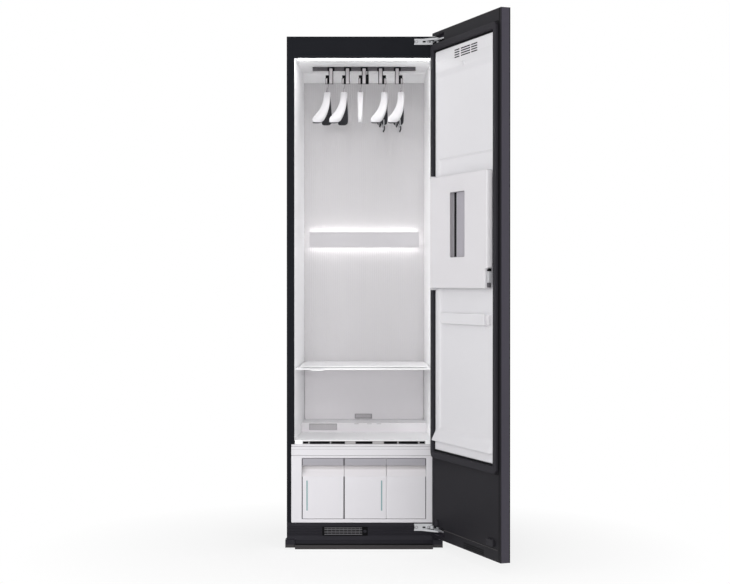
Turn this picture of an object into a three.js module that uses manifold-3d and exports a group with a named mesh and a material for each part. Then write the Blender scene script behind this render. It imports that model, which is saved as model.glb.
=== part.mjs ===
// Clothes care steam cabinet with its door open.
// Millimetres, +X to the right, +Y to the back, +Z up. The origin is on the floor, under the middle
// of the front, on the flat underside of the skirt.

import * as THREE from "three";
import { mergeVertices } from "three/addons/utils/BufferGeometryUtils.js";
import Module from "manifold-3d";

const wasm = await Module();
wasm.setup();

// Clearances shared by every piece: a fixed seat, a sliding fit, and how far a cut runs past a face
const gap = { seat: 0.3, slide: 0.8, over: 5 };
// Points closer than this are one point
const weld = 0.0003;
// How many sides a round piece has, by its size, and the steps of a curve's quarter
const sides = { large: 26, wide: 20, middling: 16, small: 12, thin: 8 };
const curveSteps = { arc: 8, pipe: 4, wire: 3 };

// Outer steel cabinet
const cabinet = { width: 592, depth: 548, top: 1960, sheet: 1.2, flange: 16.5, underside: 20 };
const cabinetHalf = cabinet.width / 2;
const gland = { radius: 14, length: 12, rise: 60, inset: 60 };

// How far pieces stand in from the cabinet's sides, its back and its top
const sideInset = {
  chamberFront: 29, chamberBack: 47.5, recess: 57.5, filter: 61, shelf: 44, lightBar: 70, rail: 91,
  foot: 46, grille: 136, hingePlate: 33, compressor: 116, blower: 121, board: 36,
};
const rearInset = {
  chamber: 78, step: 238, tanks: 298, foot: 58, compressor: 123, blower: 218, steamOutlet: 198,
};
const topInset = { ceiling: 83 };

// Ribbed plinth, its grille and the skirt below it
const plinth = { top: 97, depth: 30, wall: 4, flare: 20, flareTop: 46, flareLip: 5 };
const plinthRibs = { count: 6, pitch: 6.2, depth: 1.5, grooveShare: 0.75 };
const plinthEnd = { width: 37, overhang: 5, bottom: 5, top: 34 };
const grilleSize = { width: 174, height: 34, drop: 16 };
const plinthGrille = {
  left: sideInset.grille - cabinetHalf, right: sideInset.grille - cabinetHalf + grilleSize.width,
  bottom: plinth.top - grilleSize.drop - grilleSize.height, top: plinth.top - grilleSize.drop,
  thick: 2.5, recess: 0.8,
};
const plinthLouvres = { count: 5, gapHeight: 3.4, margin: 5, endWidth: 17 };
const skirt = { front: 28, back: 12, height: 16 };
const pan = { plate: 4, lip: 34 };
const foot = {
  radius: 22, pad: 8, stem: 6, x: cabinetHalf - sideInset.foot, frontY: 75,
  backY: cabinet.depth - rearInset.foot,
};

// White front of the machine module and the bay behind it
const machine = { top: 398, thick: 24 };
const recessRim = { bottom: 14, top: 53 };
const recess = {
  half: cabinetHalf - sideInset.recess, bottom: plinth.top + recessRim.bottom,
  top: machine.top - recessRim.top,
};

// Three containers side by side, their widths as shares of the recess, in their bay
const tankWidthShares = [0.34, 0.34, 0.32];
const tank = {
  set: 3, depth: cabinet.depth - rearInset.tanks, wall: 3, band: 28, scoop: 42, scoopDepth: 14,
};
const bayRoom = 16;
const bay = { wall: 3, depth: tank.depth + bayRoom };

// White chamber
const trim = { depth: 3 };
const chamber = {
  frontHalf: cabinetHalf - sideInset.chamberFront, backHalf: cabinetHalf - sideInset.chamberBack,
  ceiling: cabinet.top - topInset.ceiling, wall: 3, backY: cabinet.depth - rearInset.chamber,
};
const cove = { run: 60, drop: 32 };
const fluted = { thick: 8, pitch: 11, depth: 1.6 };
const floorRise = { low: 15.6, step: 53 };
const chamberFloor = {
  top: machine.top + floorRise.low, thick: 2.5, stepY: cabinet.depth - rearInset.step,
  stepTop: machine.top + floorRise.step,
};
const lintFilter = { half: cabinetHalf - sideInset.filter, depth: 150, slotDepth: 12, rim: 2 };
// The dark slots across the lint filter, as shares of its width
const lintSlotShares = [[0.055, 0.223], [0.231, 0.345], [0.43, 0.57], [0.661, 0.772], [0.782, 0.942]];
const ledge = { reach: 9, height: 8, setBack: 10 };
const shelfRise = 294;
const shelf = {
  front: 74, frontHalf: cabinetHalf - sideInset.shelf, top: machine.top + shelfRise, thick: 6,
  lipHeight: 13, lipThick: 6, sideGap: 3,
};
const catchInset = 45;
const shelfCatch = { left: catchInset - shelf.frontHalf, width: 52, drop: 4 };
const lightBarPlace = { rise: 766, height: 63, postInset: 76 };
const lightBar = {
  half: cabinetHalf - sideInset.lightBar, bottom: machine.top + lightBarPlace.rise,
  top: machine.top + lightBarPlace.rise + lightBarPlace.height, thick: 8, standOff: 14, post: 12,
  postX: cabinetHalf - sideInset.lightBar - lightBarPlace.postInset,
};

// Moving hanger rail, its drive and its hooks
const railAhead = 39;
const rail = {
  y: cabinet.depth / 2 - railAhead, half: cabinetHalf - sideInset.rail, thick: 16, height: 14, below: 1,
  stroke: 15,
};
const railPost = { half: 50, thick: 12 };
const railSlider = { half: 70, spread: 22, thick: 4 };
const rodEnd = 105;
const railRod = { length: rail.half - rodEnd, width: 10, eye: 3.2 };
const crank = { radius: 18, thick: 4, throw: 12, shaft: 4, shaftLength: 14, lift: 0.6 };
const railMotor = { radius: 26, height: 46, plate: 3, leg: 6, legSpread: 32, bearing: 0.3 };
const hook = {
  width: 16.5, thick: 2, drop: 68, pinRadius: 2.5, pinRise: 8, pinReach: 20,
  offset: 14.5, cheek: 12, cheekHeight: 37,
};
const hookCount = 5;
const hookEnd = 73;
const hookPitch = (rail.half - hookEnd) / ((hookCount - 1) / 2);
const pinHeight = chamber.ceiling - rail.below - hook.drop + hook.pinRise;

// Hangers: four bow to one side at the shoulders, the middle one is straight. Each leans to the front.
const hangerRoom = { front: 75, wire: 38 };
const hanger = {
  half: rail.y - hangerRoom.front, top: pinHeight - hangerRoom.wire, drop: 116, sag: 1.35, bow: 22,
  bend: 3, lean: 8, yaw: 5, width: 26, height: 14, flare: 20, deepen: 12, tipReach: 7, tipShare: 0.55,
};
const hangerSection = { sides: 8, squareness: 0.6, rings: 14 };
const straightHanger = { width: 24, flare: -7 };
const wire = { radius: 2.2, embed: 8, lean: 0.4, wrap: 200, wrapSteps: 6, rings: 24 };
// Trouser clips, their posts and jaws set along the arms by a share of the arms' half length
const clipDrop = 128;
const clip = {
  height: hanger.top - clipDrop, bar: 2.5, share: 0.8, jawShare: 0.6, width: 24, plate: 3, drop: 22,
  jawSet: 4, jawThick: 3, bite: 1.2, postRise: 42,
};
const jawY = clip.jawShare * hanger.half;

// Machinery behind the containers, placed from the cabinet's sides and back
const compressor = {
  x: sideInset.compressor - cabinetHalf, y: cabinet.depth - rearInset.compressor, radius: 72,
  height: 190, dome: 24, base: 10,
};
const exchangerInset = { left: 201, right: 241, front: 236, back: 176 };
const exchanger = {
  left: exchangerInset.left - cabinetHalf, right: cabinetHalf - exchangerInset.right,
  front: cabinet.depth - exchangerInset.front, back: cabinet.depth - exchangerInset.back,
  height: 230, fins: 14, finDepth: 12,
};
const blower = {
  x: cabinetHalf - sideInset.blower, y: cabinet.depth - rearInset.blower, radius: 82, depth: 78,
  wall: 4, inlet: 52, rise: 185,
};
const blowerFoot = { half: 40, thick: 12 };
const fan = {
  radius: 68, hub: 18, blades: 12, blade: 3, width: 50, disc: 3, shaft: 5, shaftOut: 14, run: 6,
};
// The steam generator stands between the compressor and the blower, by shares of the room there
const steamerRoom = {
  left: compressor.x + compressor.radius + compressor.base, right: blower.x - blower.radius,
};
const steamerShares = { left: 0.1, right: 0.775 };
const steamerInset = { front: 143, back: 48 };
const steamer = {
  left: steamerRoom.left + (steamerRoom.right - steamerRoom.left) * steamerShares.left,
  right: steamerRoom.left + (steamerRoom.right - steamerRoom.left) * steamerShares.right,
  front: cabinet.depth - steamerInset.front, back: cabinet.depth - steamerInset.back,
  height: 120, dome: 30,
};
const pipeInset = 146;
const steamPipe = {
  radius: 8, rise: 285, reach: pipeInset - cabinetHalf, outletY: cabinet.depth - rearInset.steamOutlet,
  climb: 35, rings: 14,
};
const boardSize = { width: 160, height: 150, drop: 18 };
const board = {
  left: cabinetHalf - sideInset.board - boardSize.width, right: cabinetHalf - sideInset.board,
  bottom: machine.top - boardSize.drop - boardSize.height, top: machine.top - boardSize.drop,
  thick: 2, part: 14, partRise: 12,
};
// Where the parts stand along the board, as shares of its width
const boardPartShares = [0.1, 0.35, 0.6, 0.82];

// Door, seen with d running from its hinge edge and h rising from its inner face
const doorOver = { edge: 1, top: 7 };
const door = {
  width: cabinet.width + doorOver.edge, bottom: 48, top: cabinet.top + doorOver.top, thick: 36,
  bodyGap: 12,
};
const doorSkin = { outer: 4, inner: 2, rim: 12, cornerFill: 26 };
const doorOpen = 110.9;
const pocketPlace = { topInset: 10, topHeight: 31, bottomInset: 12, bottomHeight: 32 };
const pocket = {
  run: 108, floor: 29,
  top: {
    low: door.top - pocketPlace.topInset - pocketPlace.topHeight, high: door.top - pocketPlace.topInset,
  },
  bottom: {
    low: door.bottom + pocketPlace.bottomInset,
    high: door.bottom + pocketPlace.bottomInset + pocketPlace.bottomHeight,
  },
};

// How far the gasket and the liner stop short of the door's free edge, its top and the machine's top
const gasketInset = { far: 16, top: 42, low: 48 };
const gasket = {
  near: 5, far: door.width - gasketInset.far, bottom: machine.top - gasketInset.low,
  top: door.top - gasketInset.top, proud: 11.7, shoulder: 8, chamfer: 6,
};
const linerInset = { far: 50, top: 79, low: 12 };
const recessInset = { far: 63, top: 408, low: 79 };
const linerLow = machine.top - linerInset.low;
const linerTop = door.top - linerInset.top;
const liner = {
  near: 32, far: door.width - linerInset.far, bottom: linerLow, top: linerTop, thick: 10, recess: 6,
  recessNear: 66, recessFar: door.width - recessInset.far, recessBottom: linerLow + recessInset.low,
  recessTop: linerTop - recessInset.top,
};
const headPlace = { low: 100, high: 83 };
const linerHead = { proud: 8, low: linerTop - headPlace.low, high: linerTop - headPlace.high };
const apronPlace = { low: 34, high: 74 };
const apron = { low: linerLow + apronPlace.low, high: linerLow + apronPlace.high, proud: 17 };
const hemPlace = { far: 75, rise: 479, height: 41 };
const hemBar = {
  near: 70, far: door.width - hemPlace.far, low: linerLow + hemPlace.rise,
  high: linerLow + hemPlace.rise + hemPlace.height, proud: 14,
};

// Hinge plates on the cabinet and brackets on the door, sharing one upright pivot line
const pivot = { fromEdge: 13.8, fromFace: 19.1, pinRadius: 5 };
const plateSize = { width: 72, armWidth: 38 };
const hingePlate = {
  left: cabinetHalf - sideInset.hingePlate - plateSize.width, right: cabinetHalf - sideInset.hingePlate,
  armLeft: cabinetHalf - sideInset.hingePlate - plateSize.armWidth, thick: 3, arm: 5, armRadius: 9,
};
const bracket = { near: 3, far: 103, thick: 5.5, top: 4 };
// Up each pivot line, the arm, the bracket, the pin's end and the plate follow one another
const topStack = { rise: 10, clear: 4.5, pinTail: 4, plateHeight: 23 };
const topBracket = pocket.top.low + topStack.rise;
const topArm = topBracket + bracket.thick + topStack.clear;
const hingeTop = {
  bracket: topBracket, arm: topArm, pinEnd: topBracket - topStack.pinTail,
  plateLow: topArm + hingePlate.arm - topStack.plateHeight, plateHigh: topArm + hingePlate.arm,
};
const bottomStack = { rise: 6, clear: 4, pinTail: 4.5, plateHeight: 28 };
const bottomArm = pocket.bottom.low + bottomStack.rise;
const bottomBracket = bottomArm + hingePlate.arm + bottomStack.clear;
const hingeBottom = {
  arm: bottomArm, bracket: bottomBracket, pinEnd: bottomBracket + bracket.thick + bottomStack.pinTail,
  plateLow: bottomArm, plateHigh: bottomArm + bottomStack.plateHeight,
};

// Trouser press on the door
const pressPlace = { far: 57, rise: 611, height: 414 };
const press = {
  near: 40, far: door.width - pressPlace.far, low: linerLow + pressPlace.rise,
  high: linerLow + pressPlace.rise + pressPlace.height, back: 6.5, front: 27,
};
const windowPlace = { inset: 180, width: 131, low: 113, high: 63 };
const pressWindow = {
  near: press.near + windowPlace.inset, far: press.near + windowPlace.inset + windowPlace.width,
  low: press.low + windowPlace.low, high: press.high - windowPlace.high, depth: 12,
};
const pressBacking = { inset: 30, margin: 8 };
const pinInset = 4;
const pressPin = { d: press.near + pinInset, h: 22, radius: 2.5, length: 6, ear: 10, earTop: 27 };
const latchPlace = { low: 3, height: 58, notch: 70 };
const latch = {
  width: 15, low: press.low + latchPlace.low, high: press.low + latchPlace.low + latchPlace.height,
  notchWidth: 19, notchHigh: press.low + latchPlace.notch, notchFront: 20, depth: 11,
};

// Where pieces meet, worked out from the sizes above
const linerFront = trim.depth + gap.seat;
const linerBottom = machine.top + gap.seat;
const flutedBack = chamber.backY + fluted.thick;
const coveLow = chamber.ceiling - cove.drop;
const baySill = machine.thick + gap.seat;
const innerSide = cabinetHalf - cabinet.sheet - gap.seat;
const innerRear = cabinet.depth - cabinet.sheet - gap.seat;
const panTop = plinth.top;
const machineFloor = panTop + gap.seat;
const railTop = chamber.ceiling - rail.below;
const railBottom = railTop - rail.height;
const ceilingTop = chamber.ceiling + chamber.wall;
const railFront = rail.y - rail.thick / 2;
const crankX = -railSlider.half - railRod.length + railRod.width;
const crankBottom = ceilingTop + gap.seat + railSlider.thick + crank.lift;
const hookBottom = railTop - hook.drop;
const hingeEdge = cabinetHalf + doorOver.edge;
const doorFace = -door.bodyGap;
const pivotX = hingeEdge - pivot.fromEdge;
const pivotY = doorFace - pivot.fromFace;
const degree = Math.PI / 180;

// Finishes

function finish(color, roughness, metalness = 0) {
  return new THREE.MeshStandardMaterial({ color, roughness, metalness });
}

const darkSteel = finish(0x26272c, 0.5, 0.4);
const blackPlastic = finish(0x2c2b30, 0.6);
const ribbedBlack = finish(0x312f34, 0.55);
const whiteLiner = finish(0xe6e5e8, 0.5);
const whiteFront = finish(0xe1dfe4, 0.45);
const greyPanel = finish(0xb0aeb3, 0.5);
const galvanised = finish(0x9a9da0, 0.45, 0.7);
const brushedSteel = finish(0xb6b7ba, 0.35, 0.9);
const darkRubber = finish(0x232327, 0.85);
const darkGlass = finish(0x1d1e22, 0.15, 0.1);
const castBlack = finish(0x1e1f21, 0.5, 0.3);
const boardGreen = finish(0x2b5b3c, 0.6);
const filterGrey = finish(0x8f9094, 0.6);

// Shape helpers

// A box between its lowest and highest corners.
function block([x0, y0, z0], [x1, y1, z1]) {
  const box = new THREE.BoxGeometry(x1 - x0, y1 - y0, z1 - z0);
  return box.translate((x0 + x1) / 2, (y0 + y1) / 2, (z0 + z1) / 2);
}

function extrude(outline, length) {
  const shape = outline instanceof THREE.Shape
    ? outline
    : new THREE.Shape(outline.map(([u, v]) => new THREE.Vector2(u, v)));
  return new THREE.ExtrudeGeometry(shape,
    { depth: length, bevelEnabled: false, curveSegments: curveSteps.arc });
}

const axisX = new THREE.Vector3(1, 0, 0);
const axisY = new THREE.Vector3(0, 1, 0);
const axisZ = new THREE.Vector3(0, 0, 1);

// An outline of [y, z] points run along X.
function alongX(outline, x0, x1) {
  const turn = new THREE.Matrix4().makeBasis(axisY, axisZ, axisX);
  return extrude(outline, x1 - x0).applyMatrix4(turn).translate(x0, 0, 0);
}

// An outline of [x, z] points run along Y.
function alongY(outline, y0, y1) {
  const turn = new THREE.Matrix4().makeBasis(axisX, axisZ, axisY.clone().negate());
  return extrude(outline, y1 - y0).applyMatrix4(turn).translate(0, y1, 0);
}

// An outline of [x, y] points run along Z.
function alongZ(outline, z0, z1) {
  return extrude(outline, z1 - z0).translate(0, 0, z0);
}

// An upright cylinder on a point.
function post(x, y, z0, z1, radius, round = sides.middling) {
  const cylinder = new THREE.CylinderGeometry(radius, radius, z1 - z0, round);
  return cylinder.rotateX(Math.PI / 2).translate(x, y, (z0 + z1) / 2);
}

// A level cylinder that runs from front to back.
function rod(x, z, y0, y1, radius, round = sides.middling) {
  return new THREE.CylinderGeometry(radius, radius, y1 - y0, round).translate(x, (y0 + y1) / 2, z);
}

function toSolid(geometry) {
  const bare = geometry.clone();
  bare.deleteAttribute("normal");
  bare.deleteAttribute("uv");
  const merged = mergeVertices(bare, weld);
  return new wasm.Manifold(new wasm.Mesh({
    numProp: 3,
    vertProperties: new Float32Array(merged.attributes.position.array),
    triVerts: new Uint32Array(merged.index.array),
  }));
}

function toGeometry(solid) {
  const mesh = solid.getMesh();
  const geometry = new THREE.BufferGeometry();
  geometry.setAttribute("position", new THREE.BufferAttribute(mesh.vertProperties, 3));
  geometry.setIndex(new THREE.BufferAttribute(mesh.triVerts, 1));
  geometry.computeVertexNormals();
  return geometry;
}

function join(...pieces) {
  return toGeometry(pieces.map(toSolid).reduce((whole, piece) => whole.add(piece)));
}

function cut(body, ...tools) {
  return toGeometry(tools.map(toSolid).reduce((whole, tool) => whole.subtract(tool), toSolid(body)));
}

function shared(first, second) {
  return toGeometry(toSolid(first).intersect(toSolid(second)));
}

const cabinetGroup = new THREE.Group();

function place(parent, name, geometry, material) {
  const mesh = new THREE.Mesh(geometry, material);
  mesh.name = name;
  parent.add(mesh);
  return mesh;
}

// Cabinet panels

function sidePanel(side) {
  const outer = side * cabinetHalf;
  const skin = outer - side * cabinet.sheet;
  const lip = outer - side * cabinet.flange;
  const bottom = plinth.top + gap.seat;
  const low = Math.min(outer, skin);
  const high = Math.max(outer, skin);
  return join(
    block([low, 0, bottom], [high, cabinet.depth, cabinet.top]),
    block([Math.min(outer, lip), 0, bottom], [Math.max(outer, lip), cabinet.sheet, cabinet.top]),
    block([low, plinth.depth + gap.seat, cabinet.underside],
      [high, cabinet.depth, bottom + gap.over]),
  );
}

function topPanel() {
  return block([-innerSide, trim.depth + gap.seat, cabinet.top - cabinet.sheet],
    [innerSide, innerRear, cabinet.top]);
}

function backPanel() {
  const sheet = block([-innerSide, cabinet.depth - cabinet.sheet, cabinet.underside],
    [innerSide, cabinet.depth, cabinet.top]);
  const boss = rod(innerSide - gland.inset, plinth.top + gland.rise,
    cabinet.depth - cabinet.sheet / 2, cabinet.depth + gland.length, gland.radius);
  return join(sheet, boss);
}

function frontTrim() {
  const outer = cabinetHalf - cabinet.flange - gap.seat;
  const bottom = machine.top + gap.seat;
  const inner = chamber.frontHalf;
  return alongY([
    [-outer, bottom], [-inner, bottom], [-inner, chamber.ceiling], [inner, chamber.ceiling],
    [inner, bottom], [outer, bottom], [outer, cabinet.top], [-outer, cabinet.top],
  ], 0, trim.depth);
}

// Chamber

// The chamber's plan, drawn in by an inset, from one depth to another.
function chamberPlan(inset, y0, y1) {
  const front = chamber.frontHalf - inset;
  const back = chamber.backHalf - inset;
  return [
    [-front, y0], [front, y0], [front, linerFront], [back, chamber.backY], [back, y1],
    [-back, y1], [-back, chamber.backY], [-front, linerFront],
  ];
}

function chamberSide(rise, y0, y1, bottom) {
  const top = chamber.ceiling + rise;
  const coveStart = chamber.backY - cove.run;
  return [[y0, bottom], [y0, top], [coveStart, top], [chamber.backY, coveLow + rise],
    [y1, coveLow + rise], [y1, bottom]];
}

function wallAt(y) {
  const share = (y - linerFront) / (chamber.backY - linerFront);
  return chamber.frontHalf + (chamber.backHalf - chamber.frontHalf) * share;
}

function shelfLedge(side) {
  const inner = chamber.backHalf - ledge.reach;
  const y0 = shelf.front + ledge.setBack;
  const y1 = chamber.backY;
  const high = shelf.top - shelf.thick - gap.seat;
  const plan = [[inner, y0], [wallAt(y0) + chamber.wall / 2, y0],
    [chamber.backHalf + chamber.wall / 2, y1], [inner, y1]];
  return alongZ(plan.map(([x, y]) => [side * x, y]), high - ledge.height, high);
}

function innerLiner() {
  const reach = chamber.frontHalf + chamber.wall;
  const outerPlan = chamberPlan(-chamber.wall, linerFront - gap.over, flutedBack + gap.over);
  const innerPlan = chamberPlan(0, linerFront - gap.over, flutedBack + 2 * gap.over);
  const outer = shared(
    alongX(chamberSide(chamber.wall, linerFront, flutedBack, linerBottom), -reach, reach),
    alongZ(outerPlan, 0, cabinet.top),
  );
  const inner = shared(
    alongX(chamberSide(0, linerFront - gap.over, flutedBack + gap.over, 0), -reach, reach),
    alongZ(innerPlan, 0, cabinet.top),
  );
  const slotHalf = railPost.half + rail.stroke + gap.slide;
  const slotSpread = railPost.thick / 2 + gap.slide;
  const railSlot = block([-slotHalf, rail.y - slotSpread, chamber.ceiling - gap.over],
    [slotHalf, rail.y + slotSpread, ceilingTop + gap.over]);
  return join(cut(outer, inner, railSlot), shelfLedge(1), shelfLedge(-1));
}

// The flutes are shallow vees side by side across the front of the chamber back.
function chamberBack() {
  const half = chamber.backHalf - gap.seat;
  const count = Math.floor((2 * half) / fluted.pitch);
  const margin = (2 * half - count * fluted.pitch) / 2;
  const front = [[-half, chamber.backY]];
  for (let i = 0; i < count; i++) {
    const start = -half + margin + i * fluted.pitch;
    front.push([start, chamber.backY], [start + fluted.pitch / 2, chamber.backY + fluted.depth]);
  }
  front.push([half - margin, chamber.backY], [half, chamber.backY]);
  const outline = [...front, [half, flutedBack], [-half, flutedBack]];
  return alongZ(outline, linerBottom, coveLow - gap.seat);
}

function chamberFloorPiece() {
  const { top, thick, stepY, stepTop } = chamberFloor;
  const rear = chamber.backY - gap.seat;
  const profile = [
    [linerFront, top - thick], [linerFront, top], [stepY, top], [stepY, stepTop], [rear, stepTop],
    [rear, stepTop - thick], [stepY + thick, stepTop - thick], [stepY + thick, top - thick],
  ];
  const plan = alongZ(chamberPlan(gap.seat, linerFront - gap.over, flutedBack), 0, cabinet.top);
  const sheet = shared(alongX(profile, -chamber.frontHalf, chamber.frontHalf), plan);
  const legs = [-1, 1].map((side) => {
    const inner = lintFilter.half + gap.slide;
    const outer = chamber.backHalf - gap.seat;
    return block([Math.min(side * inner, side * outer), linerFront, linerBottom],
      [Math.max(side * inner, side * outer), lintFilter.depth, top - thick / 2]);
  });
  return join(sheet, ...legs);
}

function lintFilterPiece() {
  const y0 = linerFront;
  const z0 = machine.top + gap.slide;
  const z1 = chamberFloor.top - chamberFloor.thick - gap.slide;
  const body = block([-lintFilter.half, y0, z0], [lintFilter.half, lintFilter.depth, z1]);
  const slots = lintSlotShares.map(([from, to]) => block(
    [lintFilter.half * (2 * from - 1), y0 - gap.over, z0 + lintFilter.rim],
    [lintFilter.half * (2 * to - 1), y0 + lintFilter.slotDepth, z1 - lintFilter.rim],
  ));
  return cut(body, ...slots);
}

function shelfPiece() {
  const { frontHalf } = shelf;
  const backHalf = Math.min(frontHalf, chamber.backHalf - shelf.sideGap);
  const y1 = chamber.backY - gap.slide;
  const plan = [[-frontHalf, shelf.front], [frontHalf, shelf.front], [backHalf, y1], [-backHalf, y1]];
  const lipBottom = shelf.top - shelf.lipHeight;
  return join(
    alongZ(plan, shelf.top - shelf.thick, shelf.top),
    block([-frontHalf, shelf.front, lipBottom], [frontHalf, shelf.front + shelf.lipThick, shelf.top]),
    block([shelfCatch.left, shelf.front, lipBottom - shelfCatch.drop],
      [shelfCatch.left + shelfCatch.width, shelf.front + shelf.lipThick, shelf.top]),
  );
}

function rearLightBar() {
  const back = chamber.backY - lightBar.standOff;
  const middle = (lightBar.bottom + lightBar.top) / 2;
  const panel = block([-lightBar.half, back - lightBar.thick, lightBar.bottom],
    [lightBar.half, back, lightBar.top]);
  const posts = [-1, 1].map((side) => rod(side * lightBar.postX, middle,
    back - lightBar.thick / 2, chamber.backY - gap.seat, lightBar.post));
  return join(panel, ...posts);
}

// Machine module

function machineFrame() {
  const half = cabinetHalf - cabinet.flange - gap.seat;
  const face = block([-half, 0, machineFloor], [half, machine.thick, machine.top]);
  const mouth = block([-recess.half, -gap.over, recess.bottom],
    [recess.half, machine.thick + gap.over, recess.top]);
  return cut(face, mouth);
}

function tankBay() {
  const { wall } = bay;
  const shell = block([-recess.half - wall, baySill, recess.bottom - wall],
    [recess.half + wall, baySill + bay.depth, recess.top + wall]);
  const room = block([-recess.half, baySill - gap.over, recess.bottom],
    [recess.half, baySill + bay.depth - wall, recess.top]);
  return cut(shell, room);
}

// One container, open on top, with a finger scoop under the band across its front.
function tankPiece(index) {
  const before = tankWidthShares.slice(0, index).reduce((sum, share) => sum + share, 0);
  const whole = 2 * recess.half;
  const x0 = -recess.half + whole * before + gap.slide;
  const x1 = -recess.half + whole * (before + tankWidthShares[index]) - gap.slide;
  const z0 = recess.bottom + gap.seat;
  const z1 = recess.top - gap.slide;
  const y0 = tank.set;
  const y1 = tank.set + tank.depth;
  const scoopTop = z1 - tank.band;
  const scoopBack = y0 + tank.scoopDepth;
  const profile = [
    [y0, z0], [y0, scoopTop - tank.scoop], [scoopBack, scoopTop - tank.scoop / 2], [scoopBack, scoopTop],
    [y0, scoopTop], [y0, z1], [y1, z1], [y1, z0],
  ];
  const room = block([x0 + tank.wall, scoopBack + tank.wall, z0 + tank.wall],
    [x1 - tank.wall, y1 - tank.wall, z1 + gap.over]);
  return cut(alongX(profile, x0, x1), room);
}

function compressorPiece() {
  const { radius, height, dome, base } = compressor;
  const profile = [[0, 0], [radius + base, 0], [radius + base, base], [radius, base],
    [radius, height - dome], [radius - dome, height], [0, height]];
  const can = new THREE.LatheGeometry(profile.map(([r, z]) => new THREE.Vector2(r, z)), sides.large);
  return can.rotateX(Math.PI / 2).translate(compressor.x, compressor.y, machineFloor);
}

function heatExchanger() {
  const { left, right, front, back, height, fins, finDepth } = exchanger;
  const top = machineFloor + height;
  const pitch = (right - left) / (2 * fins + 1);
  const channels = Array.from({ length: fins }, (_, i) => {
    const x = left + pitch * (2 * i + 1);
    return block([x, front - gap.over, machineFloor + finDepth],
      [x + pitch, front + finDepth, top - finDepth]);
  });
  return cut(block([left, front, machineFloor], [right, back, top]), ...channels);
}

function blowerHousing() {
  const { x, y, radius, depth, wall, inlet, rise } = blower;
  const height = machineFloor + rise;
  const shell = join(
    rod(x, height, y, y + depth, radius, sides.large),
    block([x - blowerFoot.half, y, machineFloor],
      [x + blowerFoot.half, y + depth, machineFloor + blowerFoot.thick]),
    block([x - wall, y, machineFloor], [x + wall, y + depth, height - radius / 2]),
  );
  return cut(shell,
    rod(x, height, y + wall, y + depth - wall, radius - wall, sides.large),
    rod(x, height, y - gap.over, y + depth / 2, inlet, sides.large),
    rod(x, height, y + depth / 2, y + depth + gap.over, fan.shaft + gap.seat));
}

// A disc with its blades standing towards the inlet, on a shaft through the housing's back.
function blowerWheel() {
  const height = machineFloor + blower.rise;
  const back = blower.y + blower.depth - blower.wall - fan.run;
  const blades = Array.from({ length: fan.blades }, (_, i) => {
    const angle = (i / fan.blades) * 2 * Math.PI;
    const blade = block([fan.hub / 2, back - fan.width, -fan.blade / 2],
      [fan.radius, back, fan.blade / 2]);
    return blade.rotateY(angle).translate(blower.x, 0, height);
  });
  return join(
    rod(blower.x, height, back - fan.disc, back, fan.radius, sides.large),
    rod(blower.x, height, back - fan.width, back, fan.hub),
    rod(blower.x, height, back - fan.disc, blower.y + blower.depth + fan.shaftOut, fan.shaft),
    ...blades,
  );
}

function steamGenerator() {
  const { left, right, front, back, height, dome } = steamer;
  const tankTop = machineFloor + height;
  const middleX = (left + right) / 2;
  const middleY = (front + back) / 2;
  const boiler = alongX([
    [front, machineFloor], [front, tankTop - dome], [front + dome, tankTop], [back - dome, tankTop],
    [back, tankTop - dome], [back, machineFloor],
  ], left, right);
  const outletTop = machine.top + steamPipe.climb;
  const route = new THREE.CatmullRomCurve3([
    new THREE.Vector3(middleX, middleY, tankTop - dome),
    new THREE.Vector3(middleX, middleY, machineFloor + steamPipe.rise - dome),
    new THREE.Vector3((middleX + steamPipe.reach) / 2, steamPipe.outletY, machineFloor + steamPipe.rise),
    new THREE.Vector3(steamPipe.reach, steamPipe.outletY, outletTop),
  ]);
  const ring = new THREE.Shape().absarc(0, 0, steamPipe.radius, 0, 2 * Math.PI, false);
  const pipe = new THREE.ExtrudeGeometry(ring,
    { steps: steamPipe.rings, curveSegments: curveSteps.pipe, bevelEnabled: false, extrudePath: route });
  return join(boiler, pipe);
}

function controlBoard() {
  const { left, right, bottom, top, thick, part, partRise } = board;
  const back = innerRear;
  const front = back - thick;
  const parts = boardPartShares.map((share) => {
    const x = left + (right - left) * share;
    return block([x, front - partRise, bottom + part],
      [x + part, front + thick / 2, top - part * (1 + share)]);
  });
  return join(block([left, front, bottom], [right, back, top]), ...parts);
}

// Base

function basePan() {
  const front = plinth.depth + gap.seat;
  const { plate, lip } = pan;
  return alongX([
    [front, panTop - lip], [front, panTop], [innerRear, panTop], [innerRear, panTop - lip],
    [innerRear - plate, panTop - lip], [innerRear - plate, panTop - plate],
    [front + plate, panTop - plate], [front + plate, panTop - lip],
  ], -innerSide, innerSide);
}

// The plinth's ribbed face flares forward at its foot.
function plinthOutline() {
  const bottom = skirt.height + gap.seat;
  const outline = [
    [plinth.depth, bottom], [-plinth.flare, bottom], [-plinth.flare, bottom + plinth.flareLip],
    [-plinth.flare / 4, (bottom + plinth.flareTop) / 2], [0, plinth.flareTop],
  ];
  for (let i = 0; i < plinthRibs.count; i++) {
    const z = plinth.flareTop + i * plinthRibs.pitch;
    outline.push([0, z + plinthRibs.pitch / 2],
      [plinthRibs.depth, z + plinthRibs.pitch * plinthRibs.grooveShare], [0, z + plinthRibs.pitch]);
  }
  outline.push([0, plinth.top], [plinth.depth, plinth.top]);
  return outline;
}

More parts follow.
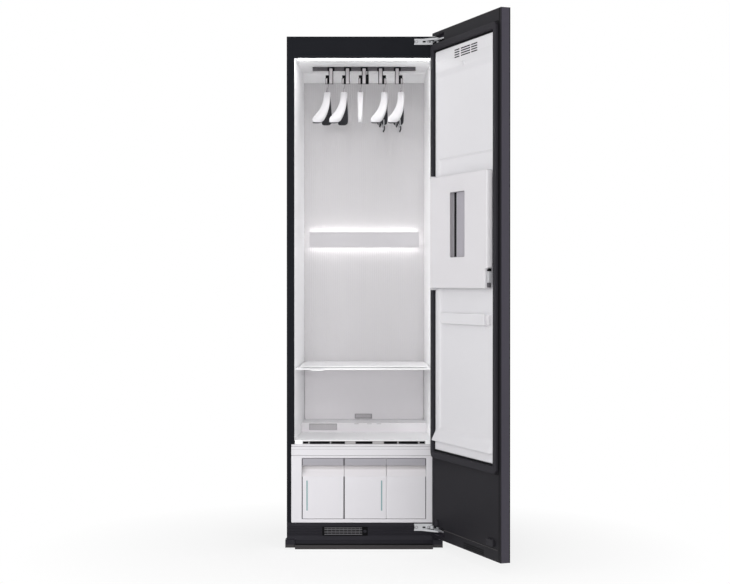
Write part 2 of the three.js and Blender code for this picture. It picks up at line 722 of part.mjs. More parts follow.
function basePlinth() {
  const body = alongX(plinthOutline(), -cabinetHalf, cabinetHalf);
  const hollowBottom = skirt.height + plinth.wall;
  const hollow = block([-cabinetHalf + plinth.wall, plinth.wall, hollowBottom],
    [cabinetHalf - plinth.wall, plinth.depth + gap.over, plinth.top - plinth.wall]);
  const window = block(
    [plinthGrille.left - gap.seat, -gap.over, plinthGrille.bottom - gap.seat],
    [plinthGrille.right + gap.seat, plinth.wall + gap.over, plinthGrille.top + gap.seat]);
  const ends = [-1, 1].map((side) => {
    const outer = side * (cabinetHalf + plinthEnd.overhang);
    const inner = outer - side * plinthEnd.width;
    return block([Math.min(outer, inner), -plinth.flare, plinthEnd.bottom],
      [Math.max(outer, inner), plinth.depth, plinthEnd.top]);
  });
  return join(cut(body, hollow, window), ...ends);
}

function baseGrille() {
  const { left, right, bottom, top, thick, recess: set } = plinthGrille;
  const body = block([left, set, bottom], [right, set + thick, top]);
  const pitch = (top - bottom - plinthLouvres.margin) / plinthLouvres.count;
  const slots = Array.from({ length: plinthLouvres.count }, (_, i) => {
    const z = bottom + plinthLouvres.margin + i * pitch;
    return block([left + plinthLouvres.margin, set - gap.over, z],
      [right - plinthLouvres.endWidth, set + thick + gap.over, z + plinthLouvres.gapHeight]);
  });
  return cut(body, ...slots);
}

function skirtPiece() {
  const half = cabinetHalf + plinthEnd.overhang - plinthEnd.width - gap.seat;
  return block([-half, -skirt.front, 0], [half, skirt.back, skirt.height]);
}

function levellingFoot(x, y) {
  const top = panTop - pan.plate - gap.seat;
  return join(post(x, y, 0, foot.pad, foot.radius, sides.wide),
    post(x, y, foot.pad / 2, top, foot.stem, sides.small));
}

// Rail, drive and hooks

// The hole for the crank's pin.
function pinHole(z0, z1) {
  return post(crankX + crank.throw, rail.y, z0 - gap.over, z1 + gap.over, railRod.eye);
}

function hangerRail() {
  const sliderBottom = ceilingTop + gap.seat;
  const sliderTop = sliderBottom + railSlider.thick;
  const rodEnd = -railSlider.half - railRod.length;
  const half = rail.thick / 2;
  const body = join(
    block([-rail.half, rail.y - half, railBottom], [rail.half, rail.y + half, railTop]),
    block([-railPost.half, rail.y - railPost.thick / 2, railBottom],
      [railPost.half, rail.y + railPost.thick / 2, sliderTop]),
    block([-railSlider.half, rail.y - railSlider.spread, sliderBottom],
      [railSlider.half, rail.y + railSlider.spread, sliderTop]),
    block([rodEnd, rail.y - railRod.width / 2, sliderBottom], [0, rail.y + railRod.width / 2, sliderTop]),
  );
  return cut(body, pinHole(sliderBottom, sliderTop));
}

function driveCrank() {
  const z = crankBottom;
  const disc = join(
    post(crankX, rail.y, z, z + crank.thick, crank.radius, sides.large),
    post(crankX, rail.y, z, z + crank.thick + crank.shaftLength, crank.shaft),
  );
  return cut(disc, pinHole(z, z + crank.thick));
}

function railMotorPiece() {
  const x = crankX;
  const plateBottom = crankBottom + crank.thick + crank.lift;
  const legs = [-1, 1].map((side) => {
    const y = rail.y + side * railMotor.legSpread;
    return block([x - railMotor.leg, y - railMotor.leg / 2, ceilingTop + gap.seat],
      [x + railMotor.leg, y + railMotor.leg / 2, plateBottom + railMotor.plate]);
  });
  const plate = block([x - railMotor.radius, rail.y - railMotor.legSpread, plateBottom],
    [x + railMotor.radius, rail.y + railMotor.legSpread, plateBottom + railMotor.plate]);
  const can = post(x, rail.y, plateBottom, plateBottom + railMotor.height, railMotor.radius,
    sides.large);
  const shaftTop = crankBottom + crank.thick + crank.shaftLength + crank.lift;
  const bore = post(x, rail.y, plateBottom - gap.over, shaftTop, crank.shaft + railMotor.bearing);
  return cut(join(plate, can, ...legs), bore);
}

function hookX(index) {
  return (index - (hookCount - 1) / 2) * hookPitch;
}

// The first three hooks carry their hanger on their left, the last two on their right.
function hookSide(index) {
  return index > (hookCount - 1) / 2 ? 1 : -1;
}

function hangerX(index) {
  return hookX(index) + hookSide(index) * hook.offset;
}

// A flat strip on the rail's front, with a cheek beside it and a pin that the hanger's wire hangs on.
function railHook(index) {
  const x = hookX(index);
  const back = railFront - gap.seat;
  const front = back - hook.thick;
  const cheekX = hangerX(index);
  return join(
    block([x - hook.width / 2, front, hookBottom], [x + hook.width / 2, back, railTop]),
    block([Math.min(x, cheekX - hook.cheek / 2), front, hookBottom],
      [Math.max(x, cheekX + hook.cheek / 2), back, hookBottom + hook.cheekHeight]),
    rod(cheekX, pinHeight, front + hook.thick / 2, back + hook.pinReach, hook.pinRadius, sides.small),
  );
}

// Hangers

// Rings of points joined into one closed skin, with a fan over each end.
function loft(rings) {
  const round = rings[0].length;
  const points = rings.flat();
  const index = [];
  for (let r = 0; r < rings.length - 1; r++) {
    for (let s = 0; s < round; s++) {
      const a = r * round + s;
      const b = r * round + ((s + 1) % round);
      index.push(a, b + round, b, a, a + round, b + round);
    }
  }
  const last = (rings.length - 1) * round;
  for (let s = 1; s < round - 1; s++) {
    index.push(0, s, s + 1, last, last + s + 1, last + s);
  }
  const geometry = new THREE.BufferGeometry();
  geometry.setAttribute("position", new THREE.Float32BufferAttribute(points.flat(), 3));
  geometry.setIndex(index);
  geometry.computeVertexNormals();
  return geometry;
}

// The middle of a hanger's arms: along Y they drop away from the neck and bow to one side,
// and the front arm hangs a little lower than the rear one.
function hangerLine(u, bow) {
  const crown = hanger.top - hanger.height / 2;
  const drop = hanger.drop * Math.abs(u) ** hanger.sag;
  return {
    x: -bow * Math.abs(u) ** hanger.bend, y: hanger.half * u, z: crown - drop + hanger.lean * u,
  };
}

// Pushes a circle's cosine or sine outwards, for a section between round and square.
function squared(wave) {
  return Math.sign(wave) * Math.abs(wave) ** hangerSection.squareness;
}

function hangerRing(u, size, bow, width, flare) {
  const centre = hangerLine(u, bow);
  const halfWidth = ((width + flare * u * u) / 2) * size;
  const halfHeight = ((hanger.height + hanger.deepen * u * u) / 2) * size;
  return Array.from({ length: hangerSection.sides }, (_, i) => {
    const angle = ((i + 1 / 2) / hangerSection.sides) * 2 * Math.PI;
    return [centre.x + halfWidth * squared(Math.cos(angle)), centre.y,
      centre.z + halfHeight * squared(Math.sin(angle))];
  });
}

function hangerArms(bow, width, flare) {
  const steps = hangerSection.rings;
  const tip = hanger.tipReach / hanger.half;
  const rings = [hangerRing(-1 - tip, hanger.tipShare, bow, width, flare)];
  for (let i = 0; i <= steps; i++) {
    rings.push(hangerRing((2 * i) / steps - 1, 1, bow, width, flare));
  }
  rings.push(hangerRing(1 + tip, hanger.tipShare, bow, width, flare));
  return loft(rings);
}

// The wire rises from the arms beside the pin and wraps over it.
function hangerWire() {
  const reach = hook.pinRadius + gap.seat + wire.radius;
  const points = [new THREE.Vector3(0, 0, hanger.top - wire.embed),
    new THREE.Vector3(reach * wire.lean, 0, hanger.top + wire.embed / 2),
    new THREE.Vector3(reach, 0, pinHeight - reach)];
  for (let i = 0; i <= wire.wrapSteps; i++) {
    const angle = (i / wire.wrapSteps) * wire.wrap * degree;
    points.push(new THREE.Vector3(reach * Math.cos(angle), 0, pinHeight + reach * Math.sin(angle)));
  }
  const ring = new THREE.Shape().absarc(0, 0, wire.radius, 0, 2 * Math.PI, false);
  const route = new THREE.CatmullRomCurve3(points);
  return new THREE.ExtrudeGeometry(ring,
    { steps: wire.rings, curveSegments: curveSteps.wire, bevelEnabled: false, extrudePath: route });
}

// The clip bar hangs under both arms on two posts, each trimmed to the arm above it.
function clipBar(arms) {
  const line = hangerLine(clip.share, hanger.bow);
  const { x } = line;
  const posts = [-1, 1].map((side) => post(x, side * line.y,
    clip.height, clip.height + clip.postRise, clip.bar, sides.thin));
  const jaws = [-1, 1].map((side) => block(
    [x - clip.jawSet, side * jawY - clip.width / 2, clip.height - clip.drop],
    [x - clip.jawSet + clip.plate, side * jawY + clip.width / 2, clip.height + clip.bar / 2],
  ));
  const bar = join(rod(x, clip.height, -line.y, line.y, clip.bar, sides.thin), ...posts, ...jaws);
  return cut(bar, arms.clone().translate(0, 0, -gap.seat),
    arms.clone().translate(0, 0, hanger.height / 2));
}

// The free jaw leans in from its axis beside the bar to bite on the fixed plate.
function clipJaw(side) {
  const { x } = hangerLine(clip.share, hanger.bow);
  const inner = x + clip.bar + clip.bite;
  const outer = inner + clip.jawThick;
  const bottom = clip.height - clip.drop;
  const plateFace = x - clip.jawSet + clip.plate + gap.seat;
  const outline = [[inner, clip.height + clip.bar / 2], [outer, clip.height + clip.bar / 2],
    [outer, clip.height - clip.drop / 2], [plateFace + clip.jawThick, bottom], [plateFace, bottom],
    [plateFace, bottom + clip.jawThick], [inner, clip.height - clip.drop / 2]];
  const y = side * jawY;
  return alongY(outline, y - clip.width / 2, y + clip.width / 2);
}

function addHanger(index) {
  const straight = index === (hookCount - 1) / 2;
  const group = new THREE.Group();
  group.position.set(hangerX(index), rail.y, 0);
  group.rotation.z = straight ? 0 : -hanger.yaw * degree;
  cabinetGroup.add(group);
  const arms = straight
    ? hangerArms(0, straightHanger.width, straightHanger.flare)
    : hangerArms(hanger.bow, hanger.width, hanger.flare);
  const number = index + 1;
  place(group, `hanger_${number}`, join(arms, hangerWire()), whiteFront);
  if (index > (hookCount - 1) / 2) {
    place(group, `clip_bar_${number}`, clipBar(arms), brushedSteel);
    place(group, `clip_jaw_${number}_front`, clipJaw(-1), blackPlastic);
    place(group, `clip_jaw_${number}_back`, clipJaw(1), blackPlastic);
  }
}

// Door

// A box given in door sizes: d from the hinge edge, h from the inner face, and height.
function doorBlock(d0, d1, h0, h1, z0, z1) {
  return block([hingeEdge - d1, doorFace + h0, z0], [hingeEdge - d0, doorFace + h1, z1]);
}

function hingePocket(level) {
  return doorBlock(-gap.over, pocket.run, -pocket.floor, door.thick, level.low, level.high);
}

function doorOuterPanel() {
  return doorBlock(0, door.width, -door.thick, -door.thick + doorSkin.outer, door.bottom, door.top);
}

function doorFrame() {
  const back = -door.thick + doorSkin.outer + gap.seat;
  const front = -doorSkin.inner - gap.seat;
  const { rim, cornerFill } = doorSkin;
  const whole = doorBlock(0, door.width, back, front, door.bottom, door.top);
  const middle = doorBlock(rim, door.width - rim, back - gap.over, front + gap.over,
    pocket.bottom.high + cornerFill, pocket.top.low - cornerFill);
  const topBay = doorBlock(pocket.run + rim, door.width - rim, back - gap.over, front + gap.over,
    pocket.top.low - 2 * cornerFill, door.top - rim);
  const bottomBay = doorBlock(pocket.run + rim, door.width - rim, back - gap.over, front + gap.over,
    door.bottom + rim, pocket.bottom.high + 2 * cornerFill);
  return cut(whole, middle, topBay, bottomBay, hingePocket(pocket.top), hingePocket(pocket.bottom));
}

function doorInnerPanel() {
  const { seat } = gap;
  const sheet = doorBlock(0, door.width, -doorSkin.inner, 0, door.bottom, door.top);
  const window = doorBlock(liner.near - seat, liner.far + seat, -door.thick, door.thick,
    liner.bottom - seat, liner.top + seat);
  return cut(sheet, window, hingePocket(pocket.top), hingePocket(pocket.bottom));
}

function linerProfile(points) {
  const outline = points.map(([h, z]) => [doorFace + h, z]);
  return alongX(outline, hingeEdge - liner.far, hingeEdge - liner.near);
}

function pressEar(z0, z1) {
  const { d, ear, earTop } = pressPin;
  return doorBlock(d - ear / 2, d + ear / 2, -doorSkin.inner, earTop, z0, z1);
}

function pressPinLine(z0, z1, radius) {
  return post(hingeEdge - pressPin.d, doorFace + pressPin.h, z0, z1, radius, sides.small);
}

function doorLiner() {
  const slab = linerProfile([
    [-liner.thick, liner.bottom], [0, liner.bottom], [0, apron.low], [apron.proud, apron.low],
    [0, apron.high], [0, linerHead.low], [linerHead.proud, linerHead.high], [linerHead.proud, liner.top],
    [-liner.thick, liner.top],
  ]);
  const hollow = doorBlock(liner.recessNear, liner.recessFar, -liner.recess, apron.proud + gap.over,
    liner.recessBottom, liner.recessTop);
  const backing = doorBlock(press.near + pressBacking.inset, liner.recessFar - pressBacking.margin,
    -liner.recess - doorSkin.inner, press.back - gap.seat, press.low + pressBacking.margin,
    press.high - pressBacking.margin);
  const bar = doorBlock(hemBar.near, hemBar.far, -liner.recess - doorSkin.inner, hemBar.proud,
    hemBar.low, hemBar.high);
  const reach = pressPin.length + gap.slide;
  const ears = [pressEar(press.low - gap.seat - reach, press.low - gap.seat),
    pressEar(press.high + gap.seat, press.high + gap.seat + reach)];
  const bores = [pressPinLine(press.low - 2 * reach, press.low, pressPin.radius + gap.seat),
    pressPinLine(press.high, press.high + 2 * reach, pressPin.radius + gap.seat)];
  return cut(join(cut(slab, hollow), backing, bar, ...ears), ...bores);
}

function doorGasket() {
  const { near, far, bottom, top, proud, shoulder, chamfer } = gasket;
  const ring = (grow, h0, h1) => cut(
    doorBlock(near + grow, far - grow, h0, h1, bottom + grow, top - grow),
    doorBlock(liner.near, liner.far, -door.thick, door.thick, liner.bottom, liner.top),
  );
  return join(ring(0, gap.seat, shoulder), ring(chamfer, shoulder / 2, proud));
}

// Hinges

// A plate on the cabinet's front with an arm that reaches out to the pin on the pivot line.
function hingePlatePiece(level, pinLow, pinHigh) {
  const { left, right, thick, arm, armRadius, armLeft } = hingePlate;
  const back = -gap.seat;
  const front = back - thick;
  const baseMiddle = (armLeft + right) / 2;
  const angle = Math.atan2(front - pivotY, baseMiddle - pivotX);
  const outline = new THREE.Shape();
  outline.absarc(pivotX, pivotY, armRadius, angle + Math.PI / 2, angle + (3 * Math.PI) / 2, false);
  outline.lineTo(right, back);
  outline.lineTo(armLeft, back);
  return join(
    block([left, front, level.plateLow], [right, back, level.plateHigh]),
    alongZ(outline, level.arm, level.arm + arm),
    post(pivotX, pivotY, pinLow, pinHigh, pivot.pinRadius, sides.wide),
  );
}

function hingeBracket(level) {
  const plate = doorBlock(bracket.near, bracket.far, -pocket.floor + gap.seat, -bracket.top,
    level.bracket, level.bracket + bracket.thick);
  const bore = post(pivotX, pivotY, level.bracket - gap.over, level.bracket + bracket.thick + gap.over,
    pivot.pinRadius + gap.seat, sides.wide);
  return cut(plate, bore);
}

// Trouser press

function pressPanel() {
  const { near, far, low, high, back, front } = press;
  const slab = doorBlock(near, far, back, front, low, high);
  const window = doorBlock(pressWindow.near, pressWindow.far, front - pressWindow.depth, front + gap.over,
    pressWindow.low, pressWindow.high);
  const notch = doorBlock(far - latch.notchWidth, far + gap.over, back - gap.over, latch.notchFront,
    low - gap.over, latch.notchHigh);
  const pins = [pressPinLine(low - gap.seat - pressPin.length, low + pressPin.length, pressPin.radius),
    pressPinLine(high - pressPin.length, high + gap.seat + pressPin.length, pressPin.radius)];
  return join(cut(slab, window, notch), ...pins);
}

function pressLatch() {
  const far = press.far - gap.slide;
  const front = latch.notchFront - gap.seat;
  return doorBlock(far - latch.width, far, front - latch.depth, front, latch.low, latch.high);
}

// Assembly

const add = (name, geometry, material) => place(cabinetGroup, name, geometry, material);

add("side_panel_left", sidePanel(-1), darkSteel);
add("side_panel_right", sidePanel(1), darkSteel);
add("top_panel", topPanel(), darkSteel);
add("back_panel", backPanel(), galvanised);
add("front_trim", frontTrim(), darkSteel);
add("inner_liner", innerLiner(), whiteLiner);
add("chamber_back", chamberBack(), whiteLiner);
add("chamber_floor", chamberFloorPiece(), whiteLiner);
add("rear_light_bar", rearLightBar(), greyPanel);
add("machine_frame", machineFrame(), whiteFront);
add("tank_bay", tankBay(), whiteFront);
add("base_pan", basePan(), galvanised);
add("base_plinth", basePlinth(), ribbedBlack);
add("base_grille", baseGrille(), blackPlastic);
add("skirt", skirtPiece(), ribbedBlack);
add("foot_front_left", levellingFoot(-foot.x, foot.frontY), darkRubber);
add("foot_front_right", levellingFoot(foot.x, foot.frontY), darkRubber);
add("foot_rear_left", levellingFoot(-foot.x, foot.backY), darkRubber);
add("foot_rear_right", levellingFoot(foot.x, foot.backY), darkRubber);
const topPin = [hingeTop.pinEnd, hingeTop.arm + hingePlate.arm];
const bottomPin = [hingeBottom.arm, hingeBottom.pinEnd];
add("hinge_plate_top", hingePlatePiece(hingeTop, ...topPin), brushedSteel);
add("hinge_plate_bottom", hingePlatePiece(hingeBottom, ...bottomPin), brushedSteel);
add("compressor", compressorPiece(), castBlack);
add("heat_exchanger", heatExchanger(), galvanised);
add("blower_housing", blowerHousing(), blackPlastic);
add("blower_wheel", blowerWheel(), greyPanel);
add("steam_generator", steamGenerator(), brushedSteel);
add("control_board", controlBoard(), boardGreen);
add("rail_motor", railMotorPiece(), castBlack);
add("drive_crank", driveCrank(), brushedSteel);
add("hanger_rail", hangerRail(), blackPlastic);
for (let i = 0; i < hookCount; i++) {
  add(`rail_hook_${i + 1}`, railHook(i), brushedSteel);
}
for (let i = 0; i < hookCount; i++) {
  addHanger(i);
}
add("shelf", shelfPiece(), whiteLiner);
add("lint_filter", lintFilterPiece(), filterGrey);
add("water_tank", tankPiece(0), whiteFront);
add("drain_tank", tankPiece(1), whiteFront);
add("accessory_bin", tankPiece(2), whiteFront);

// The door is built shut, then turned open about its pivot line
const doorHinge = new THREE.Group();
doorHinge.position.set(pivotX, pivotY, 0);
doorHinge.rotation.z = doorOpen * degree;
const doorGroup = new THREE.Group();
doorGroup.position.set(-pivotX, -pivotY, 0);
doorHinge.add(doorGroup);
cabinetGroup.add(doorHinge);

place(doorGroup, "door_outer_panel", doorOuterPanel(), darkGlass);
place(doorGroup, "door_frame", doorFrame(), blackPlastic);
place(doorGroup, "door_inner_panel", doorInnerPanel(), blackPlastic);
place(doorGroup, "door_liner", doorLiner(), whiteLiner);
place(doorGroup, "door_gasket", doorGasket(), darkRubber);
place(doorGroup, "hinge_bracket_top", hingeBracket(hingeTop), brushedSteel);
place(doorGroup, "hinge_bracket_bottom", hingeBracket(hingeBottom), brushedSteel);
place(doorGroup, "press_panel", pressPanel(), whiteFront);
place(doorGroup, "press_latch", pressLatch(), brushedSteel);

export default cabinetGroup;
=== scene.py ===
"""Finer pieces and finishes for a clothes care steam cabinet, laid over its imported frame.

Sizes are in millimetres and are turned to metres as a shape is placed. X runs to the right,
Y to the back and Z up, as in the frame. On the door, the first size runs from the hinge edge,
the second runs up, and the third rises from the inner face. A span is a pair of sizes, from
and to.
"""

from __future__ import annotations

import logging
import math
from dataclasses import dataclass
from enum import Enum
from typing import Sequence

import bmesh
import bpy
import numpy as np
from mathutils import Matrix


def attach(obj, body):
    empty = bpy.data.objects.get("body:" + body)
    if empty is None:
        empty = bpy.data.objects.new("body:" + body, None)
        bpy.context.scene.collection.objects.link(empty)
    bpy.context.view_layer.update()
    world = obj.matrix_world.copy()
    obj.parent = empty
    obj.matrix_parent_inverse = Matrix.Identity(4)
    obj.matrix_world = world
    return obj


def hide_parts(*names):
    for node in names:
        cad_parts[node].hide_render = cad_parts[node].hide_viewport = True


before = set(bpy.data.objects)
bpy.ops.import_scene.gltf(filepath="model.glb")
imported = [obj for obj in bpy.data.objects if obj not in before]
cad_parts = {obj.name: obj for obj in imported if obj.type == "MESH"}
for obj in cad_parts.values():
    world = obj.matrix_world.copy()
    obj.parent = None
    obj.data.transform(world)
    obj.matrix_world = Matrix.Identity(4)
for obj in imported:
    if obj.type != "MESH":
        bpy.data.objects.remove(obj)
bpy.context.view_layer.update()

Array = np.ndarray
Point = tuple[float, float, float]
Span = tuple[float, float]
Tree = bpy.types.NodeTree
Socket = bpy.types.NodeSocket
MILLIMETRE = 0.001
# A flat face starts this share of its edge radius from the outline.
FLAT_FROM = 1.15
DOOR_OPEN = math.radians(110.9)
PIVOT = (283.2, -31.1)
DOOR_CORNER = (297.0, -12.0)

log = logging.getLogger("steam_cabinet")


# ---- Shapes


@dataclass(frozen=True)
class Place:
    """A working frame: an origin in millimetres and three right-handed directions."""

    origin: Point = (0.0, 0.0, 0.0)
    across: Point = (1.0, 0.0, 0.0)
    up: Point = (0.0, 1.0, 0.0)
    out: Point = (0.0, 0.0, 1.0)

    def to_row(self, points: Array) -> Array:
        """Turns points along across, up and out into metres in the frame of the record.

        Args:
            points: an array whose last axis holds the three sizes in millimetres.

        Returns:
            The same points in metres.
        """
        basis = np.array([self.across, self.up, self.out])
        return (np.array(self.origin) + points @ basis) * MILLIMETRE


def door_place() -> Place:
    """The open door's frame: its corner turned about the hinge by the door's angle.

    Returns:
        The frame, which reads from the hinge edge, up, and out of the inner face.
    """
    cosine, sine = math.cos(DOOR_OPEN), math.sin(DOOR_OPEN)
    turn = np.array([[cosine, -sine], [sine, cosine]])
    corner = np.array(PIVOT) + turn @ (np.array(DOOR_CORNER) - np.array(PIVOT))
    across = turn @ np.array([-1.0, 0.0])
    out = turn @ np.array([0.0, 1.0])
    return Place((*corner, 0.0), (*across, 0.0), (0.0, 0.0, 1.0), (*out, 0.0))


ROOM = Place()
FRONT = Place(up=(0.0, 0.0, 1.0), out=(0.0, -1.0, 0.0))
UNDER = Place(up=(0.0, -1.0, 0.0), out=(0.0, 0.0, -1.0))
REAR = Place(across=(-1.0, 0.0, 0.0), up=(0.0, 0.0, 1.0), out=(0.0, 1.0, 0.0))
DOOR = door_place()
DOOR_UPRIGHT = Place(DOOR.origin, DOOR.across, tuple(-np.array(DOOR.out)), (0.0, 0.0, 1.0))


@dataclass
class Shape:
    """Points in metres and faces; shapes added together become one mesh."""

    points: Array
    faces: list[tuple[int, ...]]

    def __add__(self, other: Shape) -> Shape:
        """Both shapes, side by side in one mesh."""
        shifted = [tuple(corner + len(self.points) for corner in face) for face in other.faces]
        return Shape(np.concatenate([self.points, other.points]), self.faces + shifted)


def lofted(place: Place, rings: Array, round_again: bool = False) -> Shape:
    """Skins closed rings of points, each joined to the next by a strip of four-sided faces.

    Args:
        place: the frame that the points are given in.
        rings: an array of rings, of points in each ring, and of three sizes.
        round_again: whether the last ring meets the first; otherwise both ends are capped.

    Returns:
        The closed shape.
    """
    count, around = rings.shape[:2]
    lower = np.arange(count if round_again else count - 1)
    ring, step = np.meshgrid(lower, np.arange(around), indexing="ij")
    here, above = ring * around, (ring + 1) % count * around
    beside = (step + 1) % around
    strips = np.stack([here + step, here + beside, above + beside, above + step], -1)
    faces = [tuple(face) for face in strips.reshape(-1, 4).tolist()]
    if not round_again:
        faces.append(tuple(range(around - 1, -1, -1)))
        faces.append(tuple(range((count - 1) * around, count * around)))
    return Shape(place.to_row(rings.reshape(-1, 3)), faces)


def soft_polygon(corners: Sequence[Span], radius: float | Sequence[float], steps: int = 5) -> Array:
    """An outline whose corners are rounded.

    Each corner B is replaced by the curve (1-t)^2 A + 2t(1-t) B + t^2 C, where A and C stand a
    radius away from B along its two sides.

    Args:
        corners: the corners, anticlockwise.
        radius: how far the rounding reaches from each corner.
        steps: points on each corner's curve.

    Returns:
        The outline's points.
    """
    corner = np.asarray(corners, float)
    reach = np.broadcast_to(np.asarray(radius, float), len(corner))[:, None]
    before = np.roll(corner, 1, 0) - corner
    after = np.roll(corner, -1, 0) - corner
    start = corner + reach * before / np.linalg.norm(before, axis=1, keepdims=True)
    end = corner + reach * after / np.linalg.norm(after, axis=1, keepdims=True)
    t = np.linspace(0, 1, steps)[None, :, None]
    curve = (1 - t) ** 2 * start[:, None] + 2 * t * (1 - t) * corner[:, None] + t**2 * end[:, None]
    return curve.reshape(-1, 2)


def soft_box(across: Span, up: Span, radius: float = 1.0, steps: int = 5) -> Array:
    """A rectangle over two spans, with rounded corners."""
    (left, right), (low, high) = across, up
    return soft_polygon([(left, low), (right, low), (right, high), (left, high)], radius, steps)


def ring_of(centre: Span, radius: float, count: int = 28) -> Array:
    """A circle: the centre plus radius times the cosine and sine of equal angles."""
    angle = np.arange(count) * 2 * math.pi / count
    return np.array(centre) + radius * np.column_stack([np.cos(angle), np.sin(angle)])


def drawn_in(outline: Array, distance: float) -> Array:
    """Moves an outline inwards, square to the line between each point's two neighbours.

    Args:
        outline: the points, anticlockwise.
        distance: how far they move.

    Returns:
        The moved points.
    """
    chord = np.roll(outline, -1, 0) - np.roll(outline, 1, 0)
    chord /= np.linalg.norm(chord, axis=1, keepdims=True)
    return outline + distance * np.column_stack([-chord[:, 1], chord[:, 0]])


def raised(outline: Array, height: float) -> Array:
    """The outline's points, all at one height."""
    return np.column_stack([outline, np.full(len(outline), height)])


def stacked(outline: Array, draws: Array, heights: Array) -> Array:
    """Copies of an outline, each drawn in by one amount and raised to one height."""
    return np.stack([raised(drawn_in(outline, d), h) for d, h in zip(draws, heights)])


def edge_profile(out: Span, edge: float) -> tuple[Array, Array]:
    """A plate's side view, from its back and over a front edge that is a quarter circle.

    At angle a the ring is drawn in by edge times (1 - cos a) and stands edge times (1 - sin a)
    behind the front. One more ring just inside the edge keeps the flat face evenly shaded.

    Args:
        out: the heights of the back and front faces.
        edge: the radius of the edge.

    Returns:
        How far each ring is drawn in, and how high it is.
    """
    back, front = out
    angle = np.linspace(0, math.pi / 2, 4)
    draws = np.concatenate([[0.0], edge * (1 - np.cos(angle)), [edge * FLAT_FROM]])
    return draws, np.concatenate([[back], front - edge * (1 - np.sin(angle)), [front]])


def slab(place: Place, outline: Array, out: Span, edge: float = 1.0) -> Shape:
    """A plate of any outline, with a quarter-round front edge."""
    return lofted(place, stacked(outline, *edge_profile(out, edge)))


@dataclass(frozen=True)
class Plate:
    """A rectangular plate with rounded corners and a rounded front edge.

    Its spans run along the across, up and out directions of the place it is put in.
    """

    across: Span
    up: Span
    out: Span
    corner: float = 1.0
    edge: float = 1.0
    steps: int = 5

    def put(self, place: Place) -> Shape:
        """The plate in a place."""
        return self.copies(place)[0]

    def copies(
        self, place: Place, across: Sequence[float] = (0.0,), up: Sequence[float] = (0.0,)
    ) -> list[Shape]:
        """Copies moved by every pair of an across and an up distance."""
        outline = soft_box(self.across, self.up, self.corner, self.steps)
        return [slab(place, outline + (x, z), self.out, self.edge) for x in across for z in up]


def frame_of(place: Place, outer: Array, inner: Array, out: Span, edge: float = 1.0) -> Shape:
    """A flat frame with quarter-round edges, its section carried round from outline to outline.

    Args:
        place: the frame of the outlines.
        outer: the outer outline.
        inner: the inner outline, with as many points.
        out: the heights of the back and front faces.
        edge: the radius of both front edges.

    Returns:
        The frame.
    """
    draws, heights = edge_profile(out, edge)
    rings = [stacked(outer, draws, heights), stacked(inner, -draws[::-1], heights[::-1])]
    return lofted(place, np.concatenate(rings), round_again=True)


def turned(place: Place, centre: Span, profile: Sequence[Span], count: int = 28) -> Shape:
    """A round piece: circles whose radius and height follow the profile."""
    return lofted(place, np.stack([raised(ring_of(centre, r, count), h) for r, h in profile]))


def swept(place: Place, path: Array, profile: Array, top: Point, closed: bool = False) -> Shape:
    """A profile carried along a path.

    Each point is the path plus side times the profile's first size plus lift times its second,
    where side is square to the path and to the given top.

    Args:
        place: the frame of the path.
        path: points of the path.
        profile: a closed section, with two sizes for each point.
        top: the direction that the section's second size points to.
        closed: whether the path ends where it starts.

    Returns:
        The closed shape.
    """
    if closed:
        along = np.roll(path, -1, 0) - np.roll(path, 1, 0)
    else:
        along = np.gradient(path, axis=0)
    along /= np.linalg.norm(along, axis=1, keepdims=True)
    side = np.cross(np.broadcast_to(np.array(top, float), along.shape), along)
    side /= np.linalg.norm(side, axis=1, keepdims=True)
    lift = np.cross(along, side)
    offset = side[:, None] * profile[None, :, :1] + lift[:, None] * profile[None, :, 1:]
    return lofted(place, path[:, None] + offset, closed)


def eased(value: Array, low: float, high: float) -> Array:
    """0 below low and 1 above high, with the cubic 3t^2 - 2t^3 between."""
    t = np.clip((value - low) / (high - low), 0, 1)
    return t * t * (3 - 2 * t)


# ---- Finishes


def feed(tree: Tree, node: bpy.types.Node, inputs: dict[str | int, object]) -> None:
    """Sets each input of a node to its value, or links it where the value is a socket.

    Args:
        tree: the node tree that it stands in.
        node: the node.
        inputs: values or sockets, by the input's name or number.
    """
    for key, value in inputs.items():
        if isinstance(value, Socket):
            tree.links.new(value, node.inputs[key])
        else:
            node.inputs[key].default_value = value


def add_node(
    tree: Tree, kind: str, inputs: dict[str | int, object] | None = None, **settings: str
) -> bpy.types.Node:
    """A new shader node.

    Args:
        tree: the node tree that it joins.
        kind: its type, without the leading ShaderNode.
        inputs: its inputs, as values or sockets.
        settings: its own settings.

    Returns:
        The node.
    """
    node = tree.nodes.new(f"ShaderNode{kind}")
    for name, value in settings.items():
        setattr(node, name, value)
    feed(tree, node, inputs or {})
    return node


class Grain(Enum):
    """The fine surface that a finish has."""

    POWDER = "fine pebbled paint"
    MOULDED = "spark-eroded plastic"
    BRUSHED = "lines drawn along the metal"
    SPANGLE = "zinc crystals"
    TRACKS = "copper tracks under lacquer"
    LINED = "fine level ribs"


# How much the grains that run in lines are squeezed along each axis.
SQUEEZE = {Grain.BRUSHED: (1.0, 1.0, 0.03), Grain.LINED: (0.01, 0.01, 1.0)}
BROAD_SCALE = 7.0
CELL_SCALE = 90.0
BUMP_METRES = 0.0004
GLOSS_SPREAD = 0.06
WARM_WHITE = (1.0, 0.985, 0.97, 1.0)


